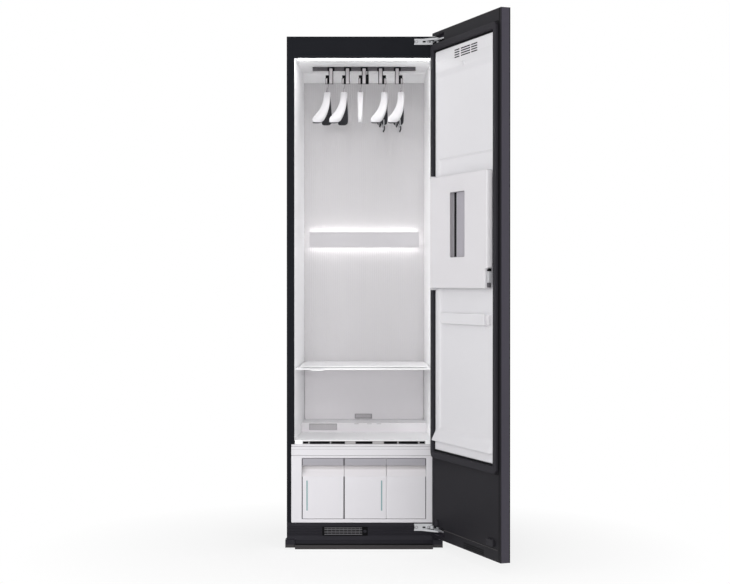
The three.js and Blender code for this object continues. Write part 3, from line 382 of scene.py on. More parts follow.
@dataclass(frozen=True)
class Finish:
    """One finish, with the detail that its nodes add to the colour, the gloss and the relief."""

    name: str
    slot: str
    screen: tuple[int, int, int]
    roughness: float = 0.5
    metallic: float = 0.0
    grain: Grain = Grain.MOULDED
    grain_scale: float = 900.0
    relief: float = 0.08
    mottle: float = 0.03
    specular: float = 0.5
    coat: float = 0.0
    glow: float = 0.0

    def light(self) -> Array:
        """The screen colour, from 0 to 255, as light: ((c + 0.055) / 1.055) ^ 2.4."""
        c = np.array(self.screen) / 255
        return np.where(c <= 0.04045, c / 12.92, ((c + 0.055) / 1.055) ** 2.4)

    def material(self) -> bpy.types.Material:
        """The finish's material, made once.

        Returns:
            The material, whose patterns all read object coordinates.
        """
        title = f"{self.name}_finish"
        known = bpy.data.materials.get(title)
        if known:
            return known
        material = bpy.data.materials.new(title)
        material.use_nodes = True
        tree = material.node_tree
        where = add_node(tree, "TexCoord").outputs["Object"]
        if self.grain in SQUEEZE:
            squeezed = {"Vector": where, "Scale": SQUEEZE[self.grain]}
            where = add_node(tree, "Mapping", squeezed).outputs["Vector"]
        noise = {"Vector": where, "Scale": self.grain_scale, "Detail": 3.0}
        fine = add_node(tree, "TexNoise", noise).outputs["Fac"]
        bump = add_node(tree, "Bump", {"Strength": self.relief, "Distance": BUMP_METRES, "Height": fine})
        values = {
            "Metallic": self.metallic,
            "Specular IOR Level": self.specular,
            "Coat Weight": self.coat,
            "Coat Roughness": 0.12,
            "Base Color": self._colour(tree, where, fine),
            "Roughness": self._gloss(tree, fine),
            "Normal": bump.outputs["Normal"],
        }
        if self.glow:
            values |= {"Emission Color": WARM_WHITE, "Emission Strength": self.glow}
        if self.grain is Grain.BRUSHED:
            values["Anisotropic"] = 0.4
        feed(tree, tree.nodes["Principled BSDF"], values)
        return material

    def _colour(self, tree: Tree, where: Socket, fine: Socket) -> Socket:
        """The base colour: two shades mixed by a faint mottle, or by the grain's own pattern.

        Args:
            tree: the material's nodes.
            where: the coordinates of the patterns.
            fine: the fine noise.

        Returns:
            The colour's socket.
        """
        if self.grain is Grain.SPANGLE:
            cells = add_node(tree, "TexVoronoi", {"Scale": CELL_SCALE, "Vector": where})
            pattern = add_node(tree, "SeparateColor", {"Color": cells.outputs["Color"]}).outputs[0]
        elif self.grain is Grain.TRACKS:
            pattern = add_node(tree, "TexBrick", {"Scale": CELL_SCALE, "Vector": where}).outputs["Fac"]
        elif self.grain in SQUEEZE:
            pattern = fine
        else:
            broad = add_node(tree, "TexNoise", {"Vector": where, "Scale": BROAD_SCALE, "Detail": 2.0})
            pattern = broad.outputs["Fac"]
        darker = (*self.light() * (1 - self.mottle), 1.0)
        lighter = (*np.minimum(1.0, self.light() * (1 + self.mottle)), 1.0)
        mix = add_node(tree, "Mix", {"A": darker, "B": lighter, "Factor": pattern}, data_type="RGBA")
        return mix.outputs["Result"]

    def _gloss(self, tree: Tree, fine: Socket) -> Socket:
        """A roughness that wanders a little with the grain.

        Args:
            tree: the material's nodes.
            fine: the fine noise.

        Returns:
            The roughness's socket.
        """
        low = max(0.03, self.roughness - GLOSS_SPREAD)
        high = min(1.0, self.roughness + GLOSS_SPREAD)
        return add_node(tree, "MapRange", {"Value": fine, "To Min": low, "To Max": high}).outputs["Result"]


SATIN = {"relief": 0.05, "mottle": 0.012}
FINE = {"relief": 0.04, "mottle": 0.01}
SOFT_BLACK = {"relief": 0.1, "mottle": 0.05, "specular": 0.1}
WHITE_LINER = Finish("white_liner", "white_liner", (251, 251, 252), 0.42, relief=0.05, mottle=0.008)
LOWER_WHITE = Finish("lower_white", "white_liner", (240, 237, 240), 0.45, **FINE)
# A darker copy of the liner's white on the step's riser, as painted shade.
RISER_SHADE_WHITE = Finish("riser_shade_white", "white_liner", (227, 224, 227), 0.45, **FINE)
# A darker copy of the liner's white on the back wall, as painted shade.
BACK_SHADE_WHITE = Finish("back_shade_white", "white_liner", (208, 206, 208), 0.5, **SATIN)
DOOR_WHITE = Finish("door_white", "white_liner", (211, 210, 213), 0.45, relief=0.06, mottle=0.012)
WHITE_FRONT = Finish("white_front", "white_front", (212, 210, 214), 0.4, **SATIN)
PRESS_WHITE = Finish("press_white", "white_front", (209, 207, 210), 0.4, **SATIN)
# A darker copy of the front's white on the scoop's wall, as painted shade under the band.
SCOOP_SHADE_WHITE = Finish("scoop_shade_white", "white_front", (196, 192, 194), 0.45, **SATIN)
RAMP_WHITE = Finish("ramp_white", "white_front", (210, 207, 210), 0.42, **SATIN)
HANGER_WHITE = Finish("hanger_white", "white_front", (200, 199, 202), 0.35, **FINE)
HEAD_RIBS = Finish(
    "head_ribs", "white_liner", (218, 217, 220), 0.45, grain=Grain.LINED, grain_scale=330.0, relief=0.3
)
LIGHT_STRIP = Finish("light_strip", "white_liner", (250, 250, 250), mottle=0.0, glow=9.0)
BAR_STRIP = Finish("bar_strip", "white_liner", (250, 250, 250), mottle=0.0, glow=5.6)
BAR_END = Finish("bar_end", "white_liner", (250, 250, 250), mottle=0.0, glow=1.5)
GREY_PANEL = Finish("grey_panel", "grey_panel", (206, 204, 207), mottle=0.015)
GREY_BAND = Finish("grey_band", "grey_panel", (154, 152, 158), 0.42, mottle=0.02)
GREY_GRILLE = Finish("grey_grille", "grey_panel", (176, 173, 176), 0.55)
# Grey for painted shade: the lines in the surround's joints and fold, and the press window's sides.
LINE_SHADE_GREY = Finish("line_shade_grey", "grey_panel", (150, 147, 151), 0.6, specular=0.2)
# Dark grey for the latch's root, and for the strips of painted shade in the containers' gaps.
DARK_GREY_AND_GAP_SHADE = Finish("dark_grey_and_gap_shade", "grey_panel", (84, 82, 86), 0.6, mottle=0.04, specular=0.1)
LEVEL_GLASS = Finish("level_glass", "grey_panel", (126, 158, 160), 0.12, mottle=0.06, coat=0.4)
FILTER_GREY = Finish("filter_grey", "filter_grey", (160, 157, 158), 0.55, mottle=0.04)
DARK_STEEL = Finish(
    "dark_steel", "dark_steel", (25, 26, 30), grain=Grain.POWDER, grain_scale=1400.0,
    relief=0.12, mottle=0.06, specular=0.05,
)
DOOR_SKIN = Finish(
    "door_skin", "door_skin", (31, 31, 36), 0.4, metallic=0.1, grain=Grain.POWDER,
    grain_scale=2200.0, relief=0.06, mottle=0.05, specular=0.12,
)
DOOR_EDGE = Finish(
    "door_edge", "door_skin", (60, 57, 66), 0.42, metallic=0.2, grain=Grain.BRUSHED,
    grain_scale=700.0, relief=0.05, mottle=0.06, specular=0.3,
)
BLACK_PLASTIC = Finish(
    "black_plastic", "black_plastic", (28, 27, 31), relief=0.1, mottle=0.06, specular=0.08
)
DEEP_BLACK = Finish("deep_black", "black_plastic", (10, 10, 12), 0.7, mottle=0.05, specular=0.1)
RAIL_GREY = Finish(
    "rail_grey", "black_plastic", (82, 80, 83), grain=Grain.BRUSHED, relief=0.1, mottle=0.08, specular=0.2
)
RIBBED_BLACK = Finish("ribbed_black", "ribbed_black", (36, 35, 40), 0.48, mottle=0.05, specular=0.14)
BLADE_GREY = Finish("blade_grey", "ribbed_black", (96, 95, 98), 0.55, mottle=0.05, specular=0.15)
SKIRT_GREY = Finish(
    "skirt_grey", "ribbed_black", (54, 52, 53), 0.55, grain=Grain.POWDER, relief=0.1,
    mottle=0.05, specular=0.22,
)
RUBBER = Finish("dark_rubber", "dark_rubber", (41, 40, 44), 0.62, **SOFT_BLACK)
LINING = Finish("hanger_lining", "dark_rubber", (42, 42, 46), 0.6, relief=0.12, mottle=0.05, specular=0.25)
STEEL = Finish(
    "brushed_steel", "brushed_steel", (196, 196, 199), 0.34, 0.9, Grain.BRUSHED, relief=0.1, mottle=0.08
)
HOOK_STEEL = Finish(
    "hook_steel", "brushed_steel", (158, 155, 158), 0.42, 0.5, Grain.BRUSHED, relief=0.1, mottle=0.1
)
LATCH_STEEL = Finish(
    "latch_steel", "brushed_steel", (182, 182, 185), 0.45, 0.25, Grain.BRUSHED, relief=0.06, mottle=0.06
)
PRESS_METAL = Finish(
    "press_metal", "brushed_steel", (178, 175, 182), 0.4, 0.7, Grain.BRUSHED, 500.0, relief=0.05, mottle=0.04
)
HINGE_STEEL = Finish("hinge_steel", "brushed_steel", (190, 191, 194), 0.3, 0.8, relief=0.06, mottle=0.06)
EDGE_GREY = Finish("edge_grey", "brushed_steel", (134, 131, 136), mottle=0.04, specular=0.3)
ALUMINIUM = Finish("aluminium", "aluminium", (200, 202, 205), 0.38, 0.85, mottle=0.05)
GALVANISED = Finish(
    "galvanised", "galvanised", (150, 153, 156), 0.42, 0.6, Grain.SPANGLE, relief=0.05, mottle=0.08
)
CAST_BLACK = Finish(
    "cast_black", "cast_black", (40, 40, 43), 0.45, grain=Grain.POWDER, grain_scale=500.0,
    relief=0.25, mottle=0.08, specular=0.3,
)
BOARD_GREEN = Finish(
    "board_green", "board_green", (44, 96, 66), 0.4, grain=Grain.TRACKS, mottle=0.25, coat=0.3
)


# ---- Pieces


def linked(name: str, data: bpy.types.ID) -> bpy.types.Object:
    """Makes an object of a mesh, a lamp or a camera, and links it into the scene.

    Args:
        name: the object's name.
        data: what it shows.

    Returns:
        The object.
    """
    made = bpy.data.objects.new(name, data)
    bpy.context.scene.collection.objects.link(made)
    return made


def make_piece(
    name: str, finish: Finish, body: str, *shapes: Shape, smooth: float = 35.0, replaces: Sequence[str] = ()
) -> None:
    """Puts shapes into the scene as one piece.

    Args:
        name: the piece's name.
        finish: its finish.
        body: the body it moves with.
        shapes: its points and faces.
        smooth: edges sharper than this angle, in degrees, stay crisp.
        replaces: frame nodes that it stands for.
    """
    whole = sum(shapes[1:], shapes[0])
    mesh = bpy.data.meshes.new(name)
    mesh.from_pydata(whole.points.tolist(), [], whole.faces)
    work = bmesh.new()
    work.from_mesh(mesh)
    bmesh.ops.remove_doubles(work, verts=work.verts, dist=0.00001)
    bmesh.ops.recalc_face_normals(work, faces=work.faces)
    work.to_mesh(mesh)
    work.free()
    mesh.polygons.foreach_set("use_smooth", np.ones(len(mesh.polygons), bool))
    mesh.set_sharp_from_angle(angle=math.radians(smooth))
    mesh.materials.append(finish.material())
    piece = linked(name, mesh)
    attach(piece, body)
    if replaces:
        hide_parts(*replaces)
    log.info("%s: %d faces on %s", name, len(mesh.polygons), body)


def dress(finish: Finish, *nodes: str) -> None:
    """Gives frame nodes a finish, leaving their meshes as they are.

    Args:
        finish: the finish.
        nodes: the nodes' names.
    """
    for node in nodes:
        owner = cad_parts[node]
        if not owner.material_slots:
            owner.data.materials.append(finish.material())
        for holder in owner.material_slots:
            holder.material = finish.material()
        log.info("%s: dressed as %s", node, finish.name)


# ---- Cabinet


@dataclass
class SteelCase:
    """The outer steel case and its dark front."""

    gland: Span = (-234.5, 157.0)
    stamped: tuple[Span, ...] = ((330, 1010), (1080, 1860))
    screw_half: float = 268.0
    screw_levels: Span = (140, 1900)

    def build(self) -> None:
        """Dresses the panels and builds what is fixed to the back."""
        dress(DARK_STEEL, "side_panel_left", "side_panel_right", "top_panel", "front_trim")
        dress(GALVANISED, "back_panel", "base_pan")
        lip = [(15.5, 548.2), (15.5, 558.0), (14.5, 560.5), (6.0, 561.5), (5.0, 560.8)]
        make_piece("cord_entry", RUBBER, "cabinet", turned(REAR, self.gland, lip))
        fields = [Plate((-230, 230), up, (547.6, 549.4), 26.0, 1.4, 8).put(REAR) for up in self.stamped]
        make_piece("back_fields", GALVANISED, "cabinet", *fields)
        levels = np.linspace(*self.screw_levels, 6)
        head = [(4.5, 547.8), (4.5, 549.6), (3.6, 550.6), (1.2, 550.8)]
        screws = [turned(REAR, (x, z), head, 20) for x in (-self.screw_half, self.screw_half) for z in levels]
        make_piece("back_screws", STEEL, "cabinet", *screws)


@dataclass
class Chamber:
    """The white chamber with its lights, grilles and shelf."""

    half: float = 248.2
    back: float = 470.0
    levels: Span = (398.4, 1844.6)
    flute_pitch: float = 9.0
    flute_depth: float = 0.5
    smooth_wall: Plate = Plate((-245, 245), (451.5, 683), (-470.4, -469.0), 9.0, 0.8)
    riser: Plate = Plate((-254, 254), (413.8, 450.7), (-309.95, -309.5), 2.0, 0.2)
    ceiling_strip: Plate = Plate((-250, 250), (-48, -7), (-1876.9, -1875.4), 4.0, 0.8)
    bar: Plate = Plate((-226, 226), (1164, 1227), (-450.4, -448.0), 2.5)
    bar_core: Plate = Plate((-223, 223), (1166.4, 1224.6), (-456.0, -450.2), 1.5, 0.5)
    bar_strip: Plate = Plate((-225.2, 225.2), (1164.7, 1166.1), (-460.5, -450.8), 0.6, 0.5, 3)
    bar_end: Plate = Plate((-225.3, -223.9), (1171, 1220), (-460.5, -450.8), 0.6, 0.5, 3)
    steam_blade: Plate = Plate((-218.4, -112.6), (0, 2.6), (-309.7, -308.4), 0.8, 0.5, 3)
    vent_blade: Plate = Plate((-34.4, 28.4), (0, 2.4), (-469.7, -468.2), 0.8, 0.5, 3)
    step_slot: Plate = Plate((0, 19), (446.6, 449.2), (-309.8, -309.2), 1.0, 0.3, 3)
    filter_half: float = 235.0
    filter_shares: tuple[Span, ...] = (
        (0.055, 0.223), (0.231, 0.345), (0.43, 0.57), (0.661, 0.772), (0.782, 0.942)
    )
    filter_end: Plate = Plate((0, 20), (400.4, 408.0), (-6.0, -2.8), 0.8, 0.3, 3)
    sill: Plate = Plate((-264.4, -236.2), (398.8, 411.6), (-14.0, -0.8), 0.8, 0.4, 3)

    def build(self) -> None:
        """Dresses the liner and adds everything that is fixed in the chamber."""
        dress(WHITE_LINER, "inner_liner", "chamber_floor")
        self.fluted_back()
        make_piece("back_panel_smooth", LOWER_WHITE, "cabinet", self.smooth_wall.put(FRONT))
        # The riser's sheet carries the liner's white painted darker, as shade.
        make_piece("step_riser", RISER_SHADE_WHITE, "cabinet", self.riser.put(FRONT))
        make_piece("ceiling_light", LIGHT_STRIP, "cabinet", self.ceiling_strip.put(UNDER))
        self.light_bar()
        self.grilles()
        self.lint_filter()
        self.shelf()

    def fluted_back(self) -> None:
        """The back panel, whose face waves by depth (1 - cos(2 pi x / pitch)) / 2 behind its front."""
        x = np.linspace(-self.half, self.half, 361)
        wave = self.flute_depth * (1 - np.cos(2 * math.pi * x / self.flute_pitch)) / 2
        face = np.column_stack([x, self.back + 0.1 + wave])
        rear = [[self.half, self.back + 7.9], [-self.half, self.back + 7.9]]
        plan = np.concatenate([face, rear])
        wall = lofted(ROOM, np.stack([raised(plan, z) for z in self.levels]))
        # The back wall takes the liner's white painted darker, as shade.
        make_piece("back_panel_fluted", BACK_SHADE_WHITE, "cabinet", wall, smooth=50.0, replaces=["chamber_back"])

    def light_bar(self) -> None:
        """The rear bar with soft edges, and the diffusers hidden behind its four edges."""
        posts = [turned(FRONT, (x, 1195.5), [(12.0, -469.7), (12.0, -455.0)]) for x in (-150.0, 150.0)]
        cover = [self.bar.put(FRONT), self.bar_core.put(FRONT), *posts]
        make_piece("light_bar_cover", GREY_PANEL, "cabinet", *cover, replaces=["rear_light_bar"])
        make_piece("light_bar_ends", BAR_END, "cabinet", *self.bar_end.copies(FRONT, across=(0.0, 449.2)))
        make_piece("light_bar_diffusers", BAR_STRIP, "cabinet", *self.bar_strip.copies(FRONT, up=(0.0, 60.2)))

    def grilles(self) -> None:
        """The steam grille on the step's riser, the louvre on the back wall and three drain slots."""
        outer, inner = soft_box((-222, -109), (423, 449), 2.0), soft_box((-218, -113), (426, 446), 1.5)
        steam = frame_of(FRONT, outer, inner, (-309.7, -307.6), 0.8)
        blades = self.steam_blade.copies(FRONT, up=(427.2, 431.2, 435.2, 439.2, 443.0))
        make_piece("steam_grille", GREY_GRILLE, "cabinet", steam, *blades)
        outer, inner = soft_box((-39, 33), (455, 475), 2.0), soft_box((-34, 28), (459, 471), 1.0)
        vent = frame_of(FRONT, outer, inner, (-469.7, -467.2), 0.8)
        blades = self.vent_blade.copies(FRONT, up=(459.4, 463.4, 467.4))
        make_piece("rear_vent", GREY_GRILLE, "cabinet", vent, *blades)
        slots = self.step_slot.copies(FRONT, across=(-40.0, 12.0, 51.0))
        make_piece("step_slots", GREY_GRILLE, "cabinet", *slots)

    def lint_filter(self) -> None:
        """Dark mesh at the bottom of the lint filter's slots, and the sills beside it."""
        dress(FILTER_GREY, "lint_filter")
        spans = (2 * np.array(self.filter_shares) - 1) * self.filter_half + [0.4, -0.4]
        fills = [Plate(tuple(span), (399.4, 408.6), (-15.2, -2.9), 0.8, 0.4, 3).put(FRONT) for span in spans]
        ends = self.filter_end.copies(FRONT, across=(-233.5, 213.0))
        make_piece("filter_mesh", DEEP_BLACK, "lint_filter", *fills, *ends)
        make_piece("chamber_sills", WHITE_LINER, "cabinet", *self.sill.copies(FRONT, across=(0.0, 500.6)))

    def shelf(self) -> None:
        """The pull-out shelf with a soft front lip and a finger catch under it."""
        corners = [(-252, 74), (252, 74), (252, 330), (245.4, 469.2), (-245.4, 469.2), (-252, 330)]
        plate = slab(ROOM, soft_polygon(corners, [7, 7, 30, 4, 4, 30]), (686.0, 692.0), 1.6)
        lip = Plate((-251.6, 251.6), (679, 690.8), (-80.0, -74.0), 4.0, 2.2).put(FRONT)
        grip = [(-212, 679.6), (-201, 675), (-161, 675), (-150, 679.6), (-150, 684), (-212, 684)]
        catch = slab(FRONT, soft_polygon(grip, [3, 4, 4, 3, 1, 1]), (-80.0, -73.9), 2.0)
        make_piece("shelf_panel", WHITE_LINER, "shelf", plate, lip, catch, replaces=["shelf"])


@dataclass(frozen=True)
class Container:
    """A pull-out container's front: a grey band, a finger scoop and a face. The scoop's wall is
    painted darker as the band's shade, and dark grey strips behind the band and the face are
    painted shade in the gaps round them.

    Its body has the name of its node, and each gap tells how far the band and the face stay
    inside that side, where the dark strip behind them shows.
    """

    name: str
    left: float
    right: float
    gap_left: float
    gap_right: float
    window: float | None = None

    def build(self) -> None:
        """Dresses the container and builds its front."""
        dress(WHITE_FRONT, self.name)
        whole = (self.left + 0.05, self.right - 0.05)
        levels = ((111.35, 274.0), (316.3, 344.15))
        # Dark grey strips behind the band and the face show in the gaps round them as painted shade.
        gap_shades = [Plate(whole, up, (-4.0, -2.6), 1.0, 0.2).put(FRONT) for up in levels]
        make_piece(f"{self.name}_seams", DARK_GREY_AND_GAP_SHADE, self.name, *gap_shades)
        inside = (self.left + self.gap_left, self.right - self.gap_right)
        band = Plate(inside, (316.5, 343.0), (-4.0, -1.9), 1.8, 0.8).put(FRONT)
        make_piece(f"{self.name}_band", GREY_BAND, self.name, band)
        face = Plate(inside, (112.4, 274.6), (-4.0, -1.7), 2.4, 1.2).put(FRONT)
        make_piece(f"{self.name}_front", WHITE_FRONT, self.name, face)
        upper = soft_polygon([(-16.5, 316.4), (-16.5, 300.0), (-20.5, 300.0), (-20.5, 316.4)], 0.3, 3)
        slope = [(-16.5, 300.0), (-16.5, 295.4), (-2.3, 274.3), (-6.0, 271.0), (-20.5, 292.0), (-20.5, 300.0)]
        lower = soft_polygon(slope, [0.1, 4.2, 1.2, 0.3, 4.0, 0.1], 8)
        path = np.column_stack([np.linspace(self.left + 0.3, self.right - 0.3, 3), np.zeros((3, 2))])
        # The scoop's wall is painted darker, as the shade under the band.
        for part, side, finish in (("scoop", upper, SCOOP_SHADE_WHITE), ("ramp", lower, RAMP_WHITE)):
            wall = swept(FRONT, path, side[:, ::-1], (0.0, 0.0, 1.0))
            make_piece(f"{self.name}_{part}", finish, self.name, wall)

    def level_window(self, left: float) -> None:
        """A tall narrow window that shows how full the container is.

        Args:
            left: the glass's left side.
        """
        outer = soft_box((left - 1.6, left + 8.6), (140, 262), 4.5)
        rim = frame_of(FRONT, outer, soft_box((left + 1, left + 6), (143, 259), 2.4), (-3.0, -1.2), 0.5)
        make_piece(f"{self.name}_window_rim", WHITE_FRONT, self.name, rim)
        glass = Plate((left + 0.8, left + 6.2), (142.8, 259.2), (-3.0, -1.5), 2.4, 0.3).put(FRONT)
        make_piece(f"{self.name}_window", LEVEL_GLASS, self.name, glass)


@dataclass
class MachineFront:
    """The white front round the containers, and the containers' own fronts."""

    half: float = 279.2
    recess: float = 238.5
    containers: tuple[Container, ...] = (
        Container("water_tank", -237.7, -77.1, 2.4, 1.6, -222.0),
        Container("drain_tank", -75.5, 85.1, 1.6, -0.2, 64.0),
        Container("accessory_bin", 86.7, 237.7, -0.9, 2.2),
    )

    def build(self) -> None:
        """Dresses what stands behind the front, and builds the front, then the level windows."""
        dress(WHITE_FRONT, "tank_bay")
        self.surround()
        for container in self.containers:
            container.build()
        for container in self.containers:
            if container.window is not None:
                container.level_window(container.window)

    def surround(self) -> None:
        """The moulded surround: a rim at the top, a band below it and the frame of the recess."""
        across = (-self.half, self.half)
        inner = soft_box((-self.recess, self.recess), (111, 345), 3.0)
        body = frame_of(FRONT, soft_box(across, (97.3, 354.2), 4.0), inner, (-24.0, 0.0), 1.6)
        band = Plate(across, (355.4, 389.2), (-24.0, -0.4), 2.2, 1.2).put(FRONT)
        rim = Plate(across, (390.4, 398.0), (-24.0, 0.0), 3.0, 1.8).put(FRONT)
        core = Plate((1 - self.half, self.half - 1), (346.5, 397), (-23.5, -2.2), 1.0, 0.5).put(FRONT)
        parts = (body, band, rim, core)
        make_piece("machine_surround", WHITE_FRONT, "cabinet", *parts, replaces=["machine_frame"])
        # Grey lines in the joints above and below the band, and on its fold, are painted shade.
        across = (0.5 - self.half, self.half - 0.5)
        lines = Plate(across, (0, 1.1), (-2.6, -0.9), 0.4, 0.1, 3).copies(FRONT, up=(354.25, 389.25))
        fold = Plate(across, (378.1, 378.9), (-0.7, -0.3), 0.3, 0.05, 3).put(FRONT)
        make_piece("surround_shade_lines", LINE_SHADE_GREY, "cabinet", *lines, fold)
        outer = soft_box((0.05 - self.recess, self.recess - 0.05), (111.05, 344.95), 2.0)
        inner = soft_box((0.6 - self.recess, self.recess - 0.6), (111.25, 344.4), 2.0)
        make_piece("recess_shadow", DEEP_BLACK, "cabinet", frame_of(FRONT, outer, inner, (-23.0, -4.5), 0.1))


@dataclass
class Base:
    """The ribbed plinth with its grille, the skirt and the feet."""

    across: Span = (-160.0, 14.0)
    up: Span = (47.0, 81.0)
    opening: tuple[Span, Span] = ((-152.0, -7.0), (49.4, 78.6))
    backing: Plate = Plate((-160.6, 14.6), (46.4, 81.6), (-26.0, -3.0), 1.0, 0.2)
    blade: Plate = Plate((-152.4, -6.6), (0, 3.6), (-3.2, -0.9), 1.0, 0.7, 3)
    tie: Plate = Plate((0, 1.4), (50.0, 78.0), (-3.2, -1.6), 0.5, 0.3, 3)
    cover: Span = (3.5, 64.0)
    cap: Plate = Plate((-300.6, -264.4), (5.4, 33.6), (19.6, 21.2), 3.0, 1.2)
    cap_strip: Plate = Plate((-299.8, -265.0), (5.8, 16.6), (20.9, 21.7), 1.6, 0.4)
    # A black strip of painted shadow under the plinth, over the skirt.
    gap: Plate = Plate((-262.5, 262.5), (16.3, 19.7), (14.0, 27.2), 1.0, 0.3, 3)

    def build(self) -> None:
        """Dresses the plinth and builds the grille."""
        dress(RIBBED_BLACK, "base_plinth")
        dress(SKIRT_GREY, "skirt")
        dress(RUBBER, "foot_front_left", "foot_front_right", "foot_rear_left", "foot_rear_right")
        self.grille()
        self.corner_caps()

    def grille(self) -> None:
        """A frame with four blades and a round cover at its right end."""
        outer, inner = soft_box(self.across, self.up, 5.0), soft_box(*self.opening, 2.0)
        rim = frame_of(FRONT, outer, inner, (-3.3, -0.4), 0.8)
        make_piece("grille_rim", DEEP_BLACK, "cabinet", rim, replaces=["base_grille"])
        blades = self.blade.copies(FRONT, up=(50.6, 59.4, 68.2, 75.4))
        ties = self.tie.copies(FRONT, across=np.linspace(-140.0, -18.0, 9))
        make_piece("grille_blades", BLADE_GREY, "cabinet", *blades, *ties)
        ring = [(9.6, -3.0), (9.6, -0.3), (8.8, 0.4), (7.2, 0.4), (6.8, -0.6)]
        parts = (self.backing.put(FRONT), turned(FRONT, self.cover, ring, 36))
        make_piece("grille_cover", DEEP_BLACK, "cabinet", *parts)
        cap = turned(FRONT, self.cover, [(6.6, -3.0), (6.6, -0.4), (5.8, 0.1), (2.0, 0.2)], 36)
        make_piece("grille_cap", RIBBED_BLACK, "cabinet", cap)

    def corner_caps(self) -> None:
        """Soft caps over the plinth's two end blocks, and a black strip of painted shadow in the gap over the
        skirt.
        """
        make_piece("plinth_caps", RIBBED_BLACK, "cabinet", *self.cap.copies(FRONT, across=(0.0, 565.0)))
        make_piece("cap_strips", SKIRT_GREY, "cabinet", *self.cap_strip.copies(FRONT, across=(0.0, 564.8)))
        # A black strip between plinth and skirt: painted shadow under the plinth.
        make_piece("skirt_gap_shadow", DEEP_BLACK, "cabinet", self.gap.put(FRONT))


@dataclass
class Machinery:
    """What works behind the containers and over the chamber."""

    def build(self) -> None:
        """Dresses each machine."""
        dress(CAST_BLACK, "compressor", "rail_motor")
        dress(ALUMINIUM, "heat_exchanger", "steam_generator")
        dress(BLACK_PLASTIC, "blower_housing")
        dress(GREY_PANEL, "blower_wheel")
        dress(BOARD_GREEN, "control_board")
        dress(STEEL, "drive_crank")


@dataclass(frozen=True)
class Arms:
    """The form of a hanger's arms: their reach, their fall, their plan and their section."""

    half: float = 160.0
    drop: float = 111.0
    sag: float = 1.35
    lean: float = 13.0
    twist: float = 14.0
    bow: float = 22.0
    bend: float = 4.0
    width: float = 26.0
    widening: float = 21.0
    power: float = 3.0
    start: float = 0.93
    square: float = 0.7

    def rings(self, top: float, wide: float = 1.0, tall: float = 1.0, shift: float = 0.0) -> Array:
        """Rings along both arms.

        At u from -1 to 1 the middle stands at twist u^3 - bow |u|^bend across, half u along
        and lean u - drop |u|^sag up. The section is a circle pushed out to a softened square,
        wider and deeper towards the tips, and it closes over each tip as the root of 1 - w^2.

        Args:
            top: the height of the arms' middle, at their upper side.
            wide: a share of the full width.
            tall: a share of the full height.
            shift: how far the section is moved down, as a share of its half height.

        Returns:
            The rings, in millimetres.
        """
        u = np.linspace(-1.045, 1.045, 61)[:, None]
        w = np.clip((np.abs(u) - self.start) / (1.0451 - self.start), 0, 1)
        close = np.sqrt(np.clip(1 - w**2, 0.004, 1))
        half_width = (self.width + self.widening * np.abs(u) ** self.power) / 2 * close * wide
        half_height = (14.0 + 12.0 * u**2) / 2 * close
        angle = np.arange(28) * 2 * math.pi / 28
        cosine = np.sign(np.cos(angle)) * np.abs(np.cos(angle)) ** self.square
        sine = np.sign(np.sin(angle)) * np.abs(np.sin(angle)) ** self.square
        across = self.twist * u**3 - self.bow * np.abs(u) ** self.bend + half_width * cosine
        middle = top - 7.0 - self.drop * np.abs(u) ** self.sag + self.lean * u
        height = middle + half_height * (tall * sine + shift)
        return np.stack([across, np.broadcast_to(self.half * u, across.shape), height], -1)


